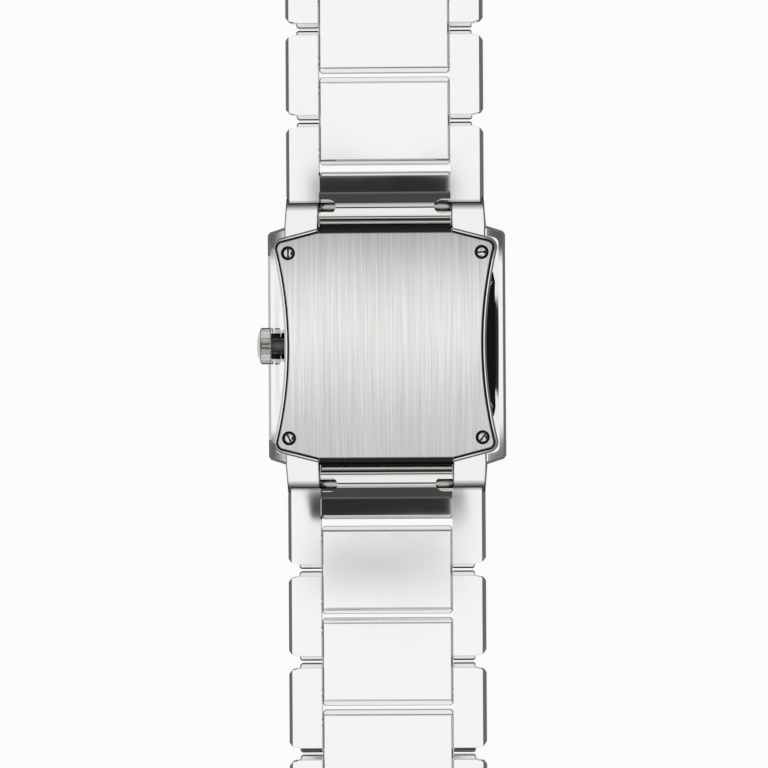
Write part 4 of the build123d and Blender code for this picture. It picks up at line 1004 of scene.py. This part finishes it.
# %% Cards round the watch
CARD_HEIGHT = 0.02 * MM
case_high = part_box("case_middle")[1]
frame_edge = case_high[0]
CARD_INSET = 5.9 * MM
CARD_GAP = 0.6 * MM
CARD_REACH = 40 * MM
card_start = case_high[1] - CARD_INSET


def card_material(name, colour):
    """A card of one colour that glows, standing for lit paper, with the faint mottling of paper. The glow
    stays even under the watch.
    """
    material, tree = new_material(name)
    place = add_node(tree, "ShaderNodeTexCoord").outputs["Object"]
    fibres = add_node(tree, "ShaderNodeTexNoise", {"Vector": place, "Scale": 1 / (3 * MM)})
    tone = add_node(tree, "ShaderNodeValToRGB", {"Fac": fibres.outputs["Fac"]})
    set_ramp(tone, [(0.3, linear(colour)), (0.7, tuple(0.9 * c for c in linear(colour)[:3]) + (1.0,))])
    paper_glow = add_node(tree, "ShaderNodeEmission", {"Color": tone.outputs["Color"], "Strength": 1.0})
    out = add_node(tree, "ShaderNodeOutputMaterial")
    tree.links.new(paper_glow.outputs["Emission"], out.inputs["Surface"])
    return material


black_card = card_material("black_card", "161616")
dark_card = card_material("dark_card", "4c4b4a")
grey_card = card_material("grey_card", "6f6f6e")
pale_card = card_material("pale_card", "c9c9c9")


def card(name, low, high, material):
    """A card between two corners, flat in one direction, that only mirror rays see."""
    bpy.ops.object.select_all(action="DESELECT")
    size = [h - l for l, h in zip(low, high)]
    middle = [(l + h) / 2 for l, h in zip(low, high)]
    thin = size.index(min(size))
    turn = {0: (0, math.pi / 2, 0), 1: (math.pi / 2, 0, 0), 2: (0, 0, 0)}[thin]
    bpy.ops.mesh.primitive_plane_add(size=1, location=middle, rotation=turn)
    piece = bpy.context.object
    piece.name = name
    across = {0: (size[2], size[1]), 1: (size[0], size[2]), 2: (size[0], size[1])}[thin]
    piece.scale = (*across, 1)
    piece.data.materials.append(material)
    for rays in ("camera", "diffuse", "transmission", "shadow", "volume_scatter"):
        setattr(piece, "visible_" + rays, False)
    return piece


bracelet_end = cad_high[1] + CARD_REACH
FLAG_HEIGHT = 14 * MM
card(
    "card_right", (frame_edge + CARD_GAP, -card_start, CARD_HEIGHT),
    (CARD_REACH, card_start, CARD_HEIGHT), black_card,
)
PALE_INSET = 0.5 * MM
bracelet_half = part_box("outer_links_12_2")[1][0] - PALE_INSET
for strip, low_x, high_x, paper_card in (
    ("left", -CARD_REACH, -bracelet_half, grey_card), ("middle", -bracelet_half, bracelet_half, pale_card),
    ("right", bracelet_half, CARD_REACH, grey_card),
):
    for end_name, low_y, high_y in (("12", card_start, bracelet_end), ("6", -bracelet_end, -card_start)):
        card(
            "card_%s_%s" % (end_name, strip), (low_x, low_y, CARD_HEIGHT), (high_x, high_y, CARD_HEIGHT),
            paper_card,
        )
for flag_name, flag_x, low_y, high_y, paper_card in (
    ("left", -CARD_REACH, -card_start, card_start, pale_card),
    ("left_12", -CARD_REACH, card_start, bracelet_end, grey_card),
    ("left_6", -CARD_REACH, -bracelet_end, -card_start, grey_card),
    ("right", CARD_REACH, -bracelet_end, bracelet_end, grey_card),
):
    card("flag_" + flag_name, (flag_x, low_y, CARD_HEIGHT), (flag_x, high_y, FLAG_HEIGHT), paper_card)
for end_name, flag_y in (("12", bracelet_end), ("6", -bracelet_end)):
    card(
        "flag_" + end_name, (-CARD_REACH, flag_y, CARD_HEIGHT), (CARD_REACH, flag_y, FLAG_HEIGHT),
        grey_card,
    )
HANGING_HEIGHT = 100 * MM
HANGING_HALF_WIDTH = 22 * MM
HANGING_FROM, HANGING_TO = 56 * MM, 82 * MM
for end_name, near_y, far_y in (("12", HANGING_FROM, HANGING_TO), ("6", -HANGING_TO, -HANGING_FROM)):
    card(
        "hanging_" + end_name, (-HANGING_HALF_WIDTH, near_y, HANGING_HEIGHT),
        (HANGING_HALF_WIDTH, far_y, HANGING_HEIGHT), dark_card,
    )
print("cards beyond y", round(card_start / MM, 1))

# %% [markdown]
# The surroundings are painted on the world by direction: a pale strip at the horizon, where the floor
# runs out, a dark wall above it, and a white ceiling. Two dark panels stand on the right. In the ceiling
# the flat leaves of the end links mirror two narrow dark slots, the first centre link of the 6 side a soft
# grey veil, and the corners of the case's ledge four dark patches. A level face mirrors the ceiling at a
# place that follows from its own, so each of these is given by where on the watch it should be seen.

# %% World
world = bpy.data.worlds.new("studio")
bpy.context.scene.world = world
world.use_nodes = True
sky = world.node_tree
sky.nodes.clear()
direction = add_node(sky, "ShaderNodeTexCoord").outputs["Generated"]
axes = add_node(sky, "ShaderNodeSeparateXYZ", {"Vector": direction})
SKY_TONES = [
    (0.0, 0.92), (0.05, 0.9), (0.07, 0.04), (0.25, 0.12), (0.45, 0.42), (0.7, 0.7), (0.88, 0.94), (1.0, 1.0),
]
height_ramp = add_node(sky, "ShaderNodeValToRGB", {"Fac": axes.outputs["Z"]})
set_ramp(height_ramp, SKY_TONES)


def band(axis, low, high, soft):
    """One where a direction's part along an axis lies between two values, and zero elsewhere."""
    rise = add_node(sky, "ShaderNodeMapRange", {
        "Value": axes.outputs[axis], "From Min": low - soft, "From Max": low + soft,
    })
    fall = add_node(sky, "ShaderNodeMapRange", {
        "Value": axes.outputs[axis], "From Min": high + soft, "From Max": high - soft,
    })
    both = add_node(sky, "ShaderNodeMath", {0: rise.outputs[0], 1: fall.outputs[0]}, operation="MULTIPLY")
    return both.outputs[0]


def panel(x, y, z, soft, tone, behind):
    """Paints a panel of the sky, given the range of directions that it covers, over what is behind it."""
    across = band("X", *x, soft)
    along = band("Y", *y, soft)
    up = band("Z", *z, soft)
    flat = add_node(sky, "ShaderNodeMath", {0: across, 1: along}, operation="MULTIPLY")
    share = add_node(sky, "ShaderNodeMath", {0: flat.outputs[0], 1: up}, operation="MULTIPLY")
    mixed = add_node(sky, "ShaderNodeMixRGB", {
        "Fac": share.outputs[0], "Color1": behind, "Color2": (tone, tone, tone, 1),
    })
    return mixed.outputs["Color"]


def mirrored(y_mm):
    """Where a level mirror at a distance along the bracelet sends the camera's ray, along Y."""
    return (y_mm * MM - camera.location.y) / camera.location.z


def overhead(x, y_mm, soft, tone, behind):
    """Paints a panel of the ceiling, given where level faces mirror it along Y."""
    return panel(x, (mirrored(y_mm[0]), mirrored(y_mm[1])), OVERHEAD, soft, tone, behind)


OVERHEAD = (0.5, 2)
SIDE_WALL = ((0, 2), (-0.3, 0.3), (0.09, 0.55), 0.03, 0.1)
RIGHT_PANEL = ((0.45, 0.8), (-0.35, 0.35), (0.3, 2), 0.03, 0.03)
LEAF_SLOT_X = (-0.0469, -0.0231)
LEAF_SLOT = {"soft": 0.0004, "tone": 0.03}
LEAVES = ((14.75, 18.25), (-18.25, -14.75))
VEIL = {"soft": 0.004, "tone": 0.62}
VEIL_Y = (-25.5, -21)
CORNER = {"soft": 0.0012, "tone": 0.1}
CORNERS_X = ((-0.07, -0.0525), (-0.0175, 0.0))
CORNERS_Y = ((9.6, 13.5), (-13.5, -9.6))
room = height_ramp.outputs["Color"]
room = panel(*SIDE_WALL, room)
room = panel(*RIGHT_PANEL, room)
for leaf_y in LEAVES:
    room = overhead(LEAF_SLOT_X, leaf_y, **LEAF_SLOT, behind=room)
room = overhead(LEAF_SLOT_X, VEIL_Y, **VEIL, behind=room)
for corner_x in CORNERS_X:
    for corner_y in CORNERS_Y:
        room = overhead(corner_x, corner_y, **CORNER, behind=room)
background = add_node(sky, "ShaderNodeBackground", {"Color": room, "Strength": 1.0})
sky_out = add_node(sky, "ShaderNodeOutputWorld")
sky.links.new(background.outputs["Background"], sky_out.inputs["Surface"])
print("world painted, first slot at", [round(mirrored(y_mm), 4) for y_mm in LEAVES[0]])
